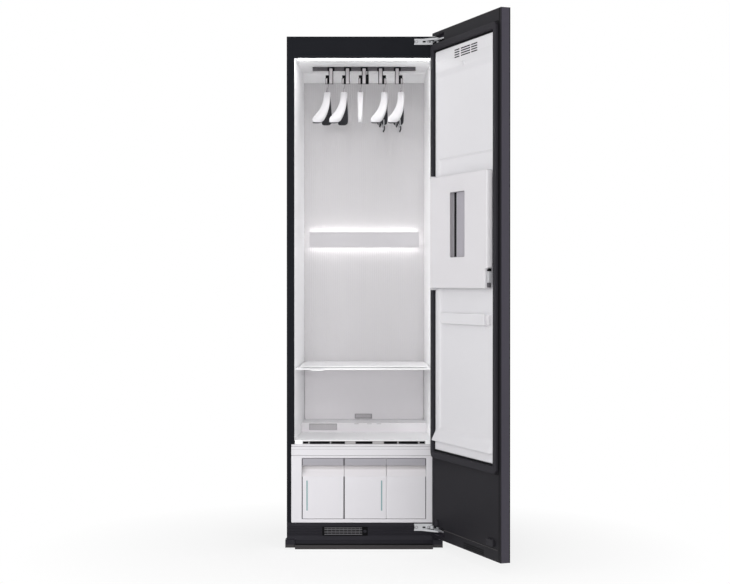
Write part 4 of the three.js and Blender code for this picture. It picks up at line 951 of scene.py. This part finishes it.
@dataclass
class HangerSet:
    """The moving rail with its five hooks and hangers."""

    rail_y: float = 235.0
    pitch: float = 66.0
    offset: float = 14.5
    pin: float = 1816.0
    top: float = 1778.0
    contoured: Arms = Arms()
    straight: Arms = Arms(
        drop=101.0, lean=16.0, twist=0.0, bow=0.0, width=24.0, widening=-7.0, power=1.0,
        start=1.02, square=0.3,
    )
    bodies: tuple[str, ...] = ("hanger_one", "hanger_two", "hanger_three", "hanger_four", "hanger_five")

    def build(self) -> None:
        """Builds the hooks on the rail and each hanger on its body."""
        dress(RAIL_GREY, "hanger_rail")
        for number, body in enumerate(self.bodies, start=1):
            self.hook(number)
            self.hanger(number, body)
        dress(STEEL, "clip_bar_4", "clip_bar_5")
        dress(BLACK_PLASTIC, "clip_jaw_4_front", "clip_jaw_4_back", "clip_jaw_5_front", "clip_jaw_5_back")

    def side(self, number: int) -> int:
        """1 where the hanger hangs on the right of its hook, otherwise -1."""
        return 1 if number > 3 else -1

    def hook_x(self, number: int) -> float:
        """The middle of a hook's strip."""
        return (number - 3) * self.pitch

    def hook(self, number: int) -> None:
        """A brushed strip, its dark backing, a collar on the rail and the receiver beside it.

        Args:
            number: which hook, from the left.
        """
        x, side = self.hook_x(number), self.side(number)

        def block(across: Span, up: Span, out: Span, corner: float) -> Shape:
            """A small block whose across sizes are measured from the strip towards the hanger."""
            span = tuple(sorted(x + side * size for size in across))
            return Plate(span, up, out, corner, min(0.6, corner / 2)).put(FRONT)

        strip = block((-6.4, 6.2), (1809.4, 1870.5), (-226.2, -224.3), 1.2)
        tongue = block((14.6, 21.2), (1809.6, 1830.6), (-226.2, -224.4), 1.2)
        make_piece(f"hook_{number}_strip", HOOK_STEEL, "rail", strip, tongue)
        parts = [
            block((-9.4, 9.0), (1807.8, 1871.0), (-226.9, -225.4), 1.4),
            Plate((x - 13.6, x + 14.4), (1861.4, 1876.3), (-243.4, -225.7), 2.0, 0.8).put(FRONT),
            block((7.0, 21.0), (1831.0, 1843.5), (-233.5, -224.7), 1.8),
            block((7.0, 22.8), (1808.0, 1832.0), (-226.9, -225.3), 1.2),
            turned(FRONT, (x + side * self.offset, self.pin), [(2.5, -246.5), (2.5, -226.0)], 20),
        ]
        if number == 3:
            parts.append(block((-18.9, -8.4), (1808.5, 1846.0), (-232.0, -224.9), 1.6))
            parts.append(block((-17.5, -13.5), (1845.0, 1862.0), (-232.0, -225.2), 1.0))
        make_piece(f"hook_{number}_body", DEEP_BLACK, "rail", *parts, replaces=[f"rail_hook_{number}"])

    def hanger(self, number: int, body: str) -> None:
        """A hanger: the moulded shell, its dark lining and its wire.

        Args:
            number: which hanger, from the left.
            body: the body it swings with.
        """
        place = Place((self.hook_x(number) + self.side(number) * self.offset, self.rail_y, 0.0))
        arms = self.straight if number == 3 else self.contoured
        shell = lofted(place, arms.rings(self.top))
        name = f"hanger_{number}"
        make_piece(f"{name}_shell", HANGER_WHITE, body, shell, smooth=60.0, replaces=[name])
        if arms is self.contoured:
            lining = lofted(place, arms.rings(self.top, 0.93, 0.5, -0.56))
            make_piece(f"{name}_lining", LINING, body, lining, smooth=60.0)
        make_piece(f"{name}_wire", HOOK_STEEL, body, *self.wire(place), smooth=60.0)

    def wire(self, place: Place) -> tuple[Shape, Shape]:
        """The wire, up from its foot, beside the pin and over it.

        Args:
            place: the frame of its hanger.

        Returns:
            The bent wire and its flared foot.
        """
        angle = np.radians(np.linspace(0, 200, 16))
        arc = np.column_stack([5.0 * np.cos(angle), np.zeros(16), self.pin + 5.0 * np.sin(angle)])
        rise = [[0.0, 0.0, -4], [0.6, 0.0, 3], [2.6, 0.0, 14], [4.4, 0.0, 24]]
        path = np.concatenate([np.array(rise) + [0.0, 0.0, self.top], arc])
        flare = [(6.4, self.top - 4), (6.0, self.top + 1.2), (3.6, self.top + 7), (1.6, self.top + 17)]
        bent = swept(place, path, ring_of((0, 0), 1.5, 14), (0.0, 1.0, 0.0))
        return bent, turned(place, (0.3, 0.0), flare, 20)


@dataclass
class Door:
    """The tall door: dark outside, white inside, with its gasket and bumpers."""

    near: float = 32.0
    far: float = 543.0
    recess_depth: float = 4.5
    recess_near: Span = (62, 78)
    recess_far: Span = (518, 534)
    recess_foot: Span = (462, 472)
    recess_head: Span = (1476, 1484)
    head_from: float = 1788.0
    pad: Plate = Plate((70, 522), (1005, 1403), (-8.0, 6.2), 5.0, 2.0)
    hem_bar: Plate = Plate((104, 479), (865, 906), (-8.0, 11.0), 4.0, 2.4)
    hem_end: Plate = Plate((489, 512), (868, 903), (-8.0, 8.0), 6.0, 3.0)
    ear: Plate = Plate((39, 49), (0, 6.8), (-2.0, 27.0), 1.0, 2.0)
    stop: Plate = Plate((490, 545), (97, 121), (-0.5, 8.0), 3.0, 1.6)
    vent_hole: Plate = Plate((0, 5.0), (0, 4.6), (-0.5, 0.5), 1.0, 0.15, 2)
    seam: Plate = Plate((577.5, 583.0), (50, 1965), (-0.5, 0.3), 0.8, 0.1, 3)

    def build(self) -> None:
        """Dresses the door's panels and builds everything on its inner side."""
        dress(DOOR_SKIN, "door_outer_panel")
        dress(DOOR_EDGE, "door_frame")
        dress(BLACK_PLASTIC, "door_inner_panel")
        self.liner()
        ears = self.ear.copies(DOOR, up=(989.9, 1411.3))
        make_piece("liner_fittings", DOOR_WHITE, "door", self.pad.put(DOOR), self.hem_bar.put(DOOR), *ears)
        make_piece("hem_bar_end", GREY_PANEL, "door", self.hem_end.put(DOOR))
        self.head_grille()
        self.gasket()
        self.lower_panel()

    def side_profile(self) -> Array:
        """The liner's side view: a lip at the foot, a long flat and a raised head.

        Returns:
            Rows of a level and the height there.
        """
        foot = [
            [386.0, 0.0], [386.0, 1.0], [388.0, 2.4], [392.0, 2.8], [404.0, 2.6], [416.0, 2.2], [419.0, 3.0],
            [419.6, 8.0], [420.0, 15.0], [421.2, 16.8], [424.0, 17.0], [430.0, 14.6], [438.0, 10.6],
            [446.0, 6.6], [454.0, 3.0], [460.0, 1.2], [464.0, 0.8], [468.0, 0.6], [472.0, 0.6],
        ]
        runs = ((478, 1470, 60), (1474, 1488, 8), (1500, 1780, 16))
        levels = np.concatenate([np.linspace(*run) for run in runs])
        head = [
            [1786.0, 0.6], [1789.0, 1.0], [1792.0, 1.8], [1805.0, 7.8], [1808.5, 8.5], [1814.0, 8.6],
            [1880.0, 8.6], [1885.0, 8.2], [1887.4, 6.6], [1888.0, 4.0], [1888.0, 0.0],
        ]
        return np.concatenate([foot, np.column_stack([levels, np.full(len(levels), 0.6)]), head])

    def liner(self) -> None:
        """The moulded white liner.

        The height over the door's inner face is the side profile at that height, less the
        recess, which fades in along its border. The lip at the foot dies away over its last
        22 mm, and the raised head rises gently from the hinge side.
        """
        side = self.side_profile()
        rows = side[:, :1]
        columns = np.unique(np.concatenate([
            [self.near, 32.2, 33.0, 35.0], np.linspace(40, 60, 5), np.linspace(62, 74, 9),
            np.linspace(84, 515, 22), np.linspace(522, 536, 9), [540.0, 542.0, 542.8, self.far],
        ]))[None, :]
        from_near = np.clip(1 - (columns - self.near) / 3, 0, 1)
        from_far = np.clip(1 - (self.far - columns) / 3, 0, 1)
        share = 1 - 0.8 * (from_near**2 + from_far**2)
        share = np.where(rows > self.head_from, share * (0.08 + 0.92 * eased(columns, 33, 56)), share)
        share = share * (1 - eased(columns, 519, 541) * eased(rows, 419, 421) * (1 - eased(rows, 462, 468)))
        recess = eased(columns, *self.recess_near) * (1 - eased(columns, *self.recess_far))
        recess = recess * eased(rows, *self.recess_foot) * (1 - eased(rows, *self.recess_head))
        height = side[:, 1:] * share - self.recess_depth * recess
        grid = np.stack([*np.broadcast_arrays(columns, rows, height)], -1)
        behind = grid.copy()
        behind[..., 2] = -10.0
        skin = lofted(DOOR, np.concatenate([grid, behind[:, ::-1]], axis=1))
        make_piece("door_liner_skin", DOOR_WHITE, "door", skin, smooth=50.0, replaces=["door_liner"])

    def head_grille(self) -> None:
        """The ribbed band at the liner's head, its three columns of slits and the garment hook."""
        levels = np.linspace(1845, 1873, 8)
        ribs = [
            rib for across in ((58, 219), (427, 536))
            for rib in Plate(across, (0, 2.2), (8.2, 9.0), 0.8, 0.4, 3).copies(DOOR, up=levels)
        ]
        make_piece("head_ribs", HEAD_RIBS, "door", *ribs)
        levels = (1841.2, 1850.0, 1858.8, 1867.6)
        slits = [
            slit for across in ((225, 268), (281, 361), (369, 420))
            for slit in Plate(across, (0, 4.2), (7.0, 9.0), 1.8, 0.2, 4).copies(DOOR, up=levels)
        ]
        make_piece("head_slits", DEEP_BLACK, "door", *slits)
        arm = [(280, 1820), (301, 1817), (306, 1818.5), (301.5, 1823), (280, 1824)]
        arm = slab(DOOR, soft_polygon(arm, [1.0, 1.0, 1.5, 1.5, 1.0], 4), (8.4, 12.0))
        stem = Plate((301, 306), (1806, 1820), (8.4, 12.0), 1.5, 1.0, 4).put(DOOR)
        make_piece("garment_hook", DOOR_WHITE, "door", arm, stem)

    def gasket(self) -> None:
        """The magnetic gasket: a stepped section carried round the liner, with mitred rounded corners, and
        black rings of painted shadow along its inner and outer edges.
        """
        outline = soft_box((18.5, 560.0), (366, 1908.5), 9.0, 6)
        corners = [(-13.2, 0.2), (13.0, 0.2), (13.0, 3.0), (12.7, 10.6), (-8.6, 11.4), (-12.0, 9.0)]
        section = soft_polygon(corners, [0.4, 0.4, 0.6, 1.6, 2.0, 1.6], 5) * np.array([-1.0, 1.0])
        ring = swept(DOOR, raised(outline, 0.0), section, (0.0, 0.0, 1.0), closed=True)
        make_piece("gasket_ring", RUBBER, "door", ring, smooth=30.0, replaces=["door_gasket"])
        # Black rings under the gasket's inner lip and just outside it: painted shadow along its edges.
        outer = soft_box((26, 551), (374, 1901), 6.0, 6)
        inner = soft_box((31.6, 543.4), (385.6, 1888.4), 3.0, 6)
        inner_shadow_ring = frame_of(DOOR, outer, inner, (-1.5, 3.4), 0.4)
        outer = soft_box((2.6, 576.0), (350.0, 1924.5), 6.0, 6)
        inner = soft_box((6.0, 572.6), (353.6, 1921.0), 6.0, 6)
        border = frame_of(DOOR, outer, inner, (-1.5, 0.6), 0.2)
        make_piece("gasket_shadow_rings", DEEP_BLACK, "door", inner_shadow_ring, border)

    def lower_panel(self) -> None:
        """The bumpers, the ridge and the mesh vent on the door's lower inner side."""
        dome = [(14.0, -0.5), (14.0, 5.0), (13.2, 6.6), (11.0, 7.4), (10.4, 6.2), (3.0, 6.0)]
        make_piece("door_bumpers", RUBBER, "door", turned(DOOR, (48.0, 107.0), dome, 36), self.stop.put(DOOR))
        ridge = Plate((112, 574), (87.5, 90.5), (-0.5, 1.6), 1.2, 0.9, 4).put(DOOR)
        make_piece("lower_ridge", SKIRT_GREY, "door", ridge)
        holes = self.vent_hole.copies(DOOR, across=np.arange(288.0, 452.0, 7.4), up=(54.0, 61.0, 68.0))
        make_piece("door_vent_mesh", DEEP_BLACK, "door", *holes)
        make_piece("door_seam", DEEP_BLACK, "door", self.seam.put(DOOR))


@dataclass
class Press:
    """The trouser press that swings out from the door."""

    near: float = 40.0
    far: float = 536.0
    low: float = 997.0
    high: float = 1411.0
    front: float = 27.0
    window: tuple[Span, Span] = ((220, 351), (1110, 1348))
    plate: Plate = Plate((260, 350), (1111, 1347), (15.0, 16.6), 3.0, 0.4)
    grey_edge: Plate = Plate((221, 239), (1111, 1347), (15.0, 16.8), 3.0, 1.2)
    dark_line: Plate = Plate((238, 261), (1111, 1347), (14.9, 15.8), 1.0, 0.3)
    tongue: Plate = Plate((520.6, 535.2), (1016.5, 1056), (8.7, 19.6), 2.5, 1.6)
    root: Plate = Plate((521.6, 534.4), (1000.2, 1017), (9.2, 18.8), 1.5)

    def build(self) -> None:
        """Builds the panel, the brushed plate and dark line seen in its window, the latch, and a black wedge
        of painted shadow over the latch.
        """
        self.panel()
        make_piece("press_plate", PRESS_METAL, "press", self.plate.put(DOOR))
        make_piece("press_edge", EDGE_GREY, "press", self.grey_edge.put(DOOR))
        make_piece("press_line", DEEP_BLACK, "press", self.dark_line.put(DOOR))
        make_piece("latch_tongue", LATCH_STEEL, "latch", self.tongue.put(DOOR), replaces=["press_latch"])
        make_piece("latch_root", DARK_GREY_AND_GAP_SHADE, "latch", self.root.put(DOOR))
        # A black wedge under the press's notch is painted shadow over the latch.
        shadow_wedge = soft_polygon([(519.0, 1057.4), (534.0, 1057.4), (534.0, 1066.0), (519.0, 1063.0)], 1.0, 3)
        make_piece("latch_shadow_wedge", DEEP_BLACK, "press", slab(DOOR, shadow_wedge, (8.0, 17.0), 0.4))

    def panel(self) -> None:
        """A thick panel with a rounded free side and a notch for the latch at its lower corner."""
        corners = [
            (self.near, self.low), (517, self.low), (517, 1064), (self.far, 1069), (self.far, self.high),
            (self.near, self.high),
        ]
        outline = soft_polygon(corners, [3.0, 3.5, 3.0, 3.0, 5.0, 3.0], 6)
        (left, right), (low, high) = self.window
        # The opening has as many corners as the outline, two of them on straight sides.
        corners = [(left, low), (300, low), (right, low), (right, 1200), (right, high), (left, high)]
        opening = soft_polygon(corners, [9.0, 4.0, 9.0, 4.0, 9.0, 9.0], 6)
        face = frame_of(DOOR, outline, opening, (15.2, self.front), 2.2)
        back = slab(DOOR, outline, (6.5, 15.0), 0.4)
        feet = (self.low - 6.3, self.high - 6.0)
        pins = [turned(DOOR_UPRIGHT, (44.0, -22.0), [(2.5, z), (2.5, z + 12.3)], 18) for z in feet]
        parts = (face, back, *pins)
        make_piece("press_shell", PRESS_WHITE, "press", *parts, smooth=40.0, replaces=["press_panel"])
        window = soft_box(*self.window, 9.0, 8)
        # The window's sides are grey as painted shade.
        rim = frame_of(DOOR, window, drawn_in(window, 1.2), (15.0, 25.6), 0.5)
        make_piece("press_window_rim", LINE_SHADE_GREY, "press", rim)


@dataclass(frozen=True)
class Hinge:
    """One hinge: a notched plate and an arm on the cabinet, and a stepped bracket on the door.

    The arm's span is upright, the pin runs from its root to its free end, and seen is 1 where
    the bracket's screws are on its upper face and -1 where they are on the lower one.
    """

    name: str
    low: float
    high: float
    arm: Span
    pin: Span
    knee: Span
    bracket: float
    seen: int
    left: float = 191.0
    right: float = 263.0
    screws: Span = (201.0, 247.0)
    arm_root: Span = (225.0, -3.3)
    bore: Span = (13.8, 19.1)

    def way(self) -> Array:
        """The direction from the arm's root to the pin."""
        run = np.array(PIVOT) - np.array(self.arm_root)
        return run / np.linalg.norm(run)

    def cabinet_side(self) -> None:
        """A plate with a notched left end, its screws, an arm with a knee and an eye, and the pin."""
        middle = (self.low + self.high) / 2
        corners = [
            (self.left, self.low), (self.right, self.low), (self.right, self.high), (self.left, self.high),
            (self.left + 3.5, middle),
        ]
        plate = slab(FRONT, soft_polygon(corners, [3.0, 3.0, 3.0, 3.0, 3.5], 5), (0.3, 3.3), 0.8)
        head, seat = [(4.2, 3.0), (4.2, 4.1), (3.2, 4.8), (1.2, 4.9)], [(5.8, 2.9), (5.8, 3.5), (4.3, 3.6)]
        screws = [turned(FRONT, (x, middle), head, 24) for x in self.screws]
        seats = [turned(FRONT, (x, middle), seat, 24) for x in self.screws]
        make_piece(f"hinge_{self.name}_seats", EDGE_GREY, "cabinet", *seats)
        way = self.way()
        fan = np.radians(np.linspace(-90, 90, 12)) + math.atan2(way[1], way[0])
        nose = np.array(PIVOT) + 9.0 * np.column_stack([np.cos(fan), np.sin(fan)])
        side = [[self.right, -0.3], [225.0, -0.3], self.arm_root]
        arm = slab(ROOM, np.concatenate([side, nose]), self.arm, 0.8)
        knee = soft_polygon([(256, -9.6), (266, -9.6), (270, -3.0), (252, -3.0)], [2.0, 2.0, 1.0, 1.0], 4)
        eye = [(3.8, 33.0), (3.8, 39.0), (3.3, 39.5), (2.3, 39.6)]
        root, tip = self.pin
        toward = math.copysign(1.0, tip - root)
        rivet = [(5.0, tip - toward * 4.7), (7.8, tip - toward * 4.2), (7.8, tip - toward), (6.6, tip)]
        parts = [
            plate,
            arm,
            slab(ROOM, knee, self.knee, 0.8),
            turned(FRONT, (PIVOT[0], sum(self.arm) / 2), eye, 24),
            turned(ROOM, PIVOT, [(5.0, root), (5.0, tip - toward * 4.6)], 28),
            turned(ROOM, PIVOT, rivet, 28),
            *screws,
        ]
        make_piece(
            f"hinge_{self.name}_plate", HINGE_STEEL, "cabinet", *parts, smooth=30.0,
            replaces=[f"hinge_plate_{self.name}"],
        )

    def dark_parts(self) -> None:
        """The slot in the plate, the hollow of the arm, the pin's socket and the eye's bore."""
        middle = (self.low + self.high) / 2
        across, up = (self.left + 33, self.left + 45), (middle - 3.2, middle + 3.2)
        slot = Plate(across, up, (3.0, 3.7), 3.0, 0.2).put(FRONT)
        way = self.way()
        side = 4.6 * np.array([-way[1], way[0]])
        neck = np.array(PIVOT) - 13.0 * way
        channel = np.array([[262.5, -4.6], [243.0, -4.6], neck - side, neck + side])
        hollow = slab(ROOM, channel, (self.arm[0] - 0.3, self.arm[1] + 0.3), 0.1)
        root, tip = self.pin
        toward = math.copysign(1.0, tip - root)
        socket = turned(ROOM, PIVOT, [(3.6, tip - toward), (3.6, tip + toward * 0.25)], 24)
        bore = turned(FRONT, (PIVOT[0], sum(self.arm) / 2), [(2.2, 39.0), (2.2, 39.7)], 20)
        make_piece(f"hinge_{self.name}_slot", DEEP_BLACK, "cabinet", slot, hollow, socket, bore)

    def door_side(self) -> None:
        """A bracket in the door's pocket with two screw heads, a step and a bore for the pin."""
        face = self.bracket + 2.75 + self.seen * 2.45

        def on_face(thickness: float) -> Span:
            """The span from the bracket's seen face to this far out of it."""
            return tuple(sorted((face, face + self.seen * thickness)))

        corners = [(3, 4.0), (60, 4.0), (103, 10.0), (103, 28.7), (3, 28.7)]
        outline = soft_polygon(corners, [6.0, 8.0, 5.0, 3.0, 4.0], 5)
        away = outline - np.array(self.bore)
        turn = np.arctan2(away[:, 1], away[:, 0])
        hole = np.array(self.bore) + 5.3 * np.column_stack([np.cos(turn), np.sin(turn)])
        plate = frame_of(DOOR_UPRIGHT, outline, hole, (self.bracket, self.bracket + 5.5), 0.7)
        rises = ((4.4, 0.0), (4.4, 2.0), (3.4, 2.8), (1.2, 2.9))
        head = [(radius, face + self.seen * rise) for radius, rise in rises]
        heads = [turned(DOOR_UPRIGHT, (x, 15.0), head, 24) for x in (58.0, 88.0)]
        link = soft_polygon([(30, 5.5), (98, 12.5), (98, 24), (30, 24)], 3.0)
        parts = [plate, slab(DOOR_UPRIGHT, link, on_face(1.6), 0.4), *heads]
        make_piece(
            f"hinge_{self.name}_bracket", HINGE_STEEL, "door", *parts, smooth=30.0,
            replaces=[f"hinge_bracket_{self.name}"],
        )
        outer, inner = soft_box((48, 101.5), (9.6, 20.4), 2.0), soft_box((50.5, 99.0), (12.0, 18.0), 1.2)
        edge = frame_of(DOOR_UPRIGHT, outer, inner, on_face(3.4), 0.5)
        eye = Plate((33, 44), (10.0, 19.0), on_face(1.9), 3.5, 0.1).put(DOOR_UPRIGHT)
        make_piece(f"hinge_{self.name}_stop", DEEP_BLACK, "door", edge, eye)


@dataclass
class Hinges:
    """The door's two hinges."""

    pair: tuple[Hinge, ...] = (
        Hinge("top", 1928.0, 1951.0, (1942.6, 1951.0), (1951.0, 1931.4), (1935.0, 1951.0), 1936.0, -1),
        Hinge("bottom", 66.0, 94.0, (66.0, 73.8), (66.0, 85.6), (66.0, 87.0), 75.0, 1),
    )

    def build(self) -> None:
        """Builds what is on the cabinet, then what is on the door."""
        for hinge in self.pair:
            hinge.cabinet_side()
            hinge.dark_parts()
        for hinge in self.pair:
            hinge.door_side()


# ---- Studio


@dataclass(frozen=True)
class Lamp:
    """A square soft lamp: its place and its aim in metres, its side and its power in watts."""

    name: str
    at: Point
    aim: Point
    size: float
    power: float

    def build(self) -> None:
        """Puts the lamp into the scene, turned to its aim and hidden from the camera and gloss."""
        light = bpy.data.lights.new(self.name, "AREA")
        light.shape = "SQUARE"
        light.size = self.size
        light.energy = self.power
        lamp = linked(self.name, light)
        lamp.location = self.at
        x, y, z = np.array(self.at) - np.array(self.aim)
        lamp.rotation_euler = (math.atan2(math.hypot(x, y), z), 0.0, math.atan2(x, -y))
        lamp.visible_camera = False
        lamp.visible_glossy = False


@dataclass
class Studio:
    """A pale floor, soft lamps and the camera."""

    camera_at: Point = (0.0038, -5.75, 1.011)
    pitch: float = 0.29
    lens: float = 74.0
    sky: float = 0.22
    floor_half: float = 12.0
    floor_front: float = -9.0
    sweep_from: float = 7.0
    sweep: float = 2.0
    lamps: tuple[Lamp, ...] = (
        Lamp("front_softbox", (-0.2, -5.8, 0.85), (0.0, 0.0, 0.9), 1.6, 42.0),
        Lamp("high_softbox", (-0.3, -4.2, 3.4), (0.0, 0.0, 0.9), 2.6, 74.0),
        Lamp("left_softbox", (-3.8, -2.4, 1.8), (0.1, 0.0, 1.0), 2.4, 104.0),
        Lamp("right_softbox", (3.2, -4.2, 1.6), (0.0, 0.0, 1.0), 2.4, 84.0),
    )

    def build(self) -> None:
        """Sets the stage."""
        self.floor()
        self.world()
        for lamp in self.lamps:
            lamp.build()
        self.camera()
        bpy.context.scene.view_settings.view_transform = "Standard"

    def seen_factor(self, tree: Tree) -> Socket:
        """1 for what the camera sees, directly or in gloss or glass, otherwise 0.

        Args:
            tree: the node tree that it joins.

        Returns:
            The factor's socket.
        """
        path = add_node(tree, "LightPath").outputs
        direct = {0: path["Is Camera Ray"], 1: path["Is Glossy Ray"]}
        first = add_node(tree, "Math", direct, operation="MAXIMUM").outputs["Value"]
        through = {0: first, 1: path["Is Transmission Ray"]}
        return add_node(tree, "Math", through, operation="MAXIMUM").outputs["Value"]

    def floor(self) -> None:
        """A floor that sweeps up into a backdrop: flat, then a quarter circle, then upright."""
        angle = np.linspace(0, math.pi / 2, 24)
        rear = self.sweep_from + self.sweep
        y = np.concatenate([[self.floor_front], self.sweep_from + self.sweep * np.sin(angle), [rear]])
        z = np.concatenate([[0.0], self.sweep * (1 - np.cos(angle)), [rear]])
        x = np.linspace(-self.floor_half, self.floor_half, 3)
        grid = np.stack([*np.broadcast_arrays(x[None, :], y[:, None], z[:, None])], -1)
        index = np.arange(grid[..., 0].size).reshape(grid.shape[:2])
        faces = np.stack([index[:-1, :-1], index[:-1, 1:], index[1:, 1:], index[1:, :-1]], -1)
        mesh = bpy.data.meshes.new("studio_floor")
        mesh.from_pydata(grid.reshape(-1, 3).tolist(), [], faces.reshape(-1, 4).tolist())
        mesh.polygons.foreach_set("use_smooth", np.ones(len(mesh.polygons), bool))
        floor = linked("studio_floor", mesh)
        mesh.materials.append(self.floor_material())

    def floor_material(self) -> bpy.types.Material:
        """A matt white that turns to even white away from the object, where it is seen.

        Returns:
            The floor's material.
        """
        material = bpy.data.materials.new("studio_floor")
        material.use_nodes = True
        tree = material.node_tree
        tree.nodes.clear()
        matt = add_node(tree, "BsdfDiffuse", {"Color": (0.9, 0.9, 0.9, 1.0)})
        pale = add_node(tree, "Emission", {"Color": (1.0, 1.0, 1.0, 1.0)})
        where = add_node(tree, "TexCoord").outputs["Object"]
        reach = add_node(tree, "VectorMath", {0: where}, operation="LENGTH").outputs["Value"]
        fade = add_node(tree, "MapRange", {"Value": reach, "From Min": 0.45, "From Max": 1.3, "To Min": 0.8})
        both = {0: self.seen_factor(tree), 1: fade.outputs["Result"]}
        share = add_node(tree, "Math", both, operation="MULTIPLY").outputs["Value"]
        shaders = {"Fac": share, 1: matt.outputs["BSDF"], 2: pale.outputs["Emission"]}
        mix = add_node(tree, "MixShader", shaders)
        add_node(tree, "OutputMaterial", {"Surface": mix.outputs["Shader"]})
        return material

    def world(self) -> None:
        """An even white sky, at full white only where it is seen."""
        world = bpy.context.scene.world or bpy.data.worlds.new("studio")
        bpy.context.scene.world = world
        world.use_nodes = True
        tree = world.node_tree
        span = {"Value": self.seen_factor(tree), "To Min": self.sky, "To Max": 1.0}
        level = add_node(tree, "MapRange", span)
        white = {"Color": (1.0, 1.0, 1.0, 1.0), "Strength": level.outputs["Result"]}
        feed(tree, tree.nodes["Background"], white)

    def camera(self) -> None:
        """The camera at the photograph's place."""
        data = bpy.data.cameras.new("camera")
        data.sensor_fit = "HORIZONTAL"
        data.sensor_width = 36.0
        data.lens = self.lens
        camera = linked("camera", data)
        camera.location = self.camera_at
        camera.rotation_euler = (math.radians(90 - self.pitch), 0.0, 0.0)
        bpy.context.scene.camera = camera


def main() -> None:
    """Builds the studio and each sub-assembly in order."""
    logging.basicConfig(level=logging.INFO, format="%(name)s %(message)s")
    parts = [Studio(), SteelCase(), Chamber(), MachineFront(), Base(), Machinery()]
    parts += [HangerSet(), Door(), Press(), Hinges()]
    for part in parts:
        log.info("building %s", type(part).__name__)
        part.build()


if __name__ == "__main__":
    main()
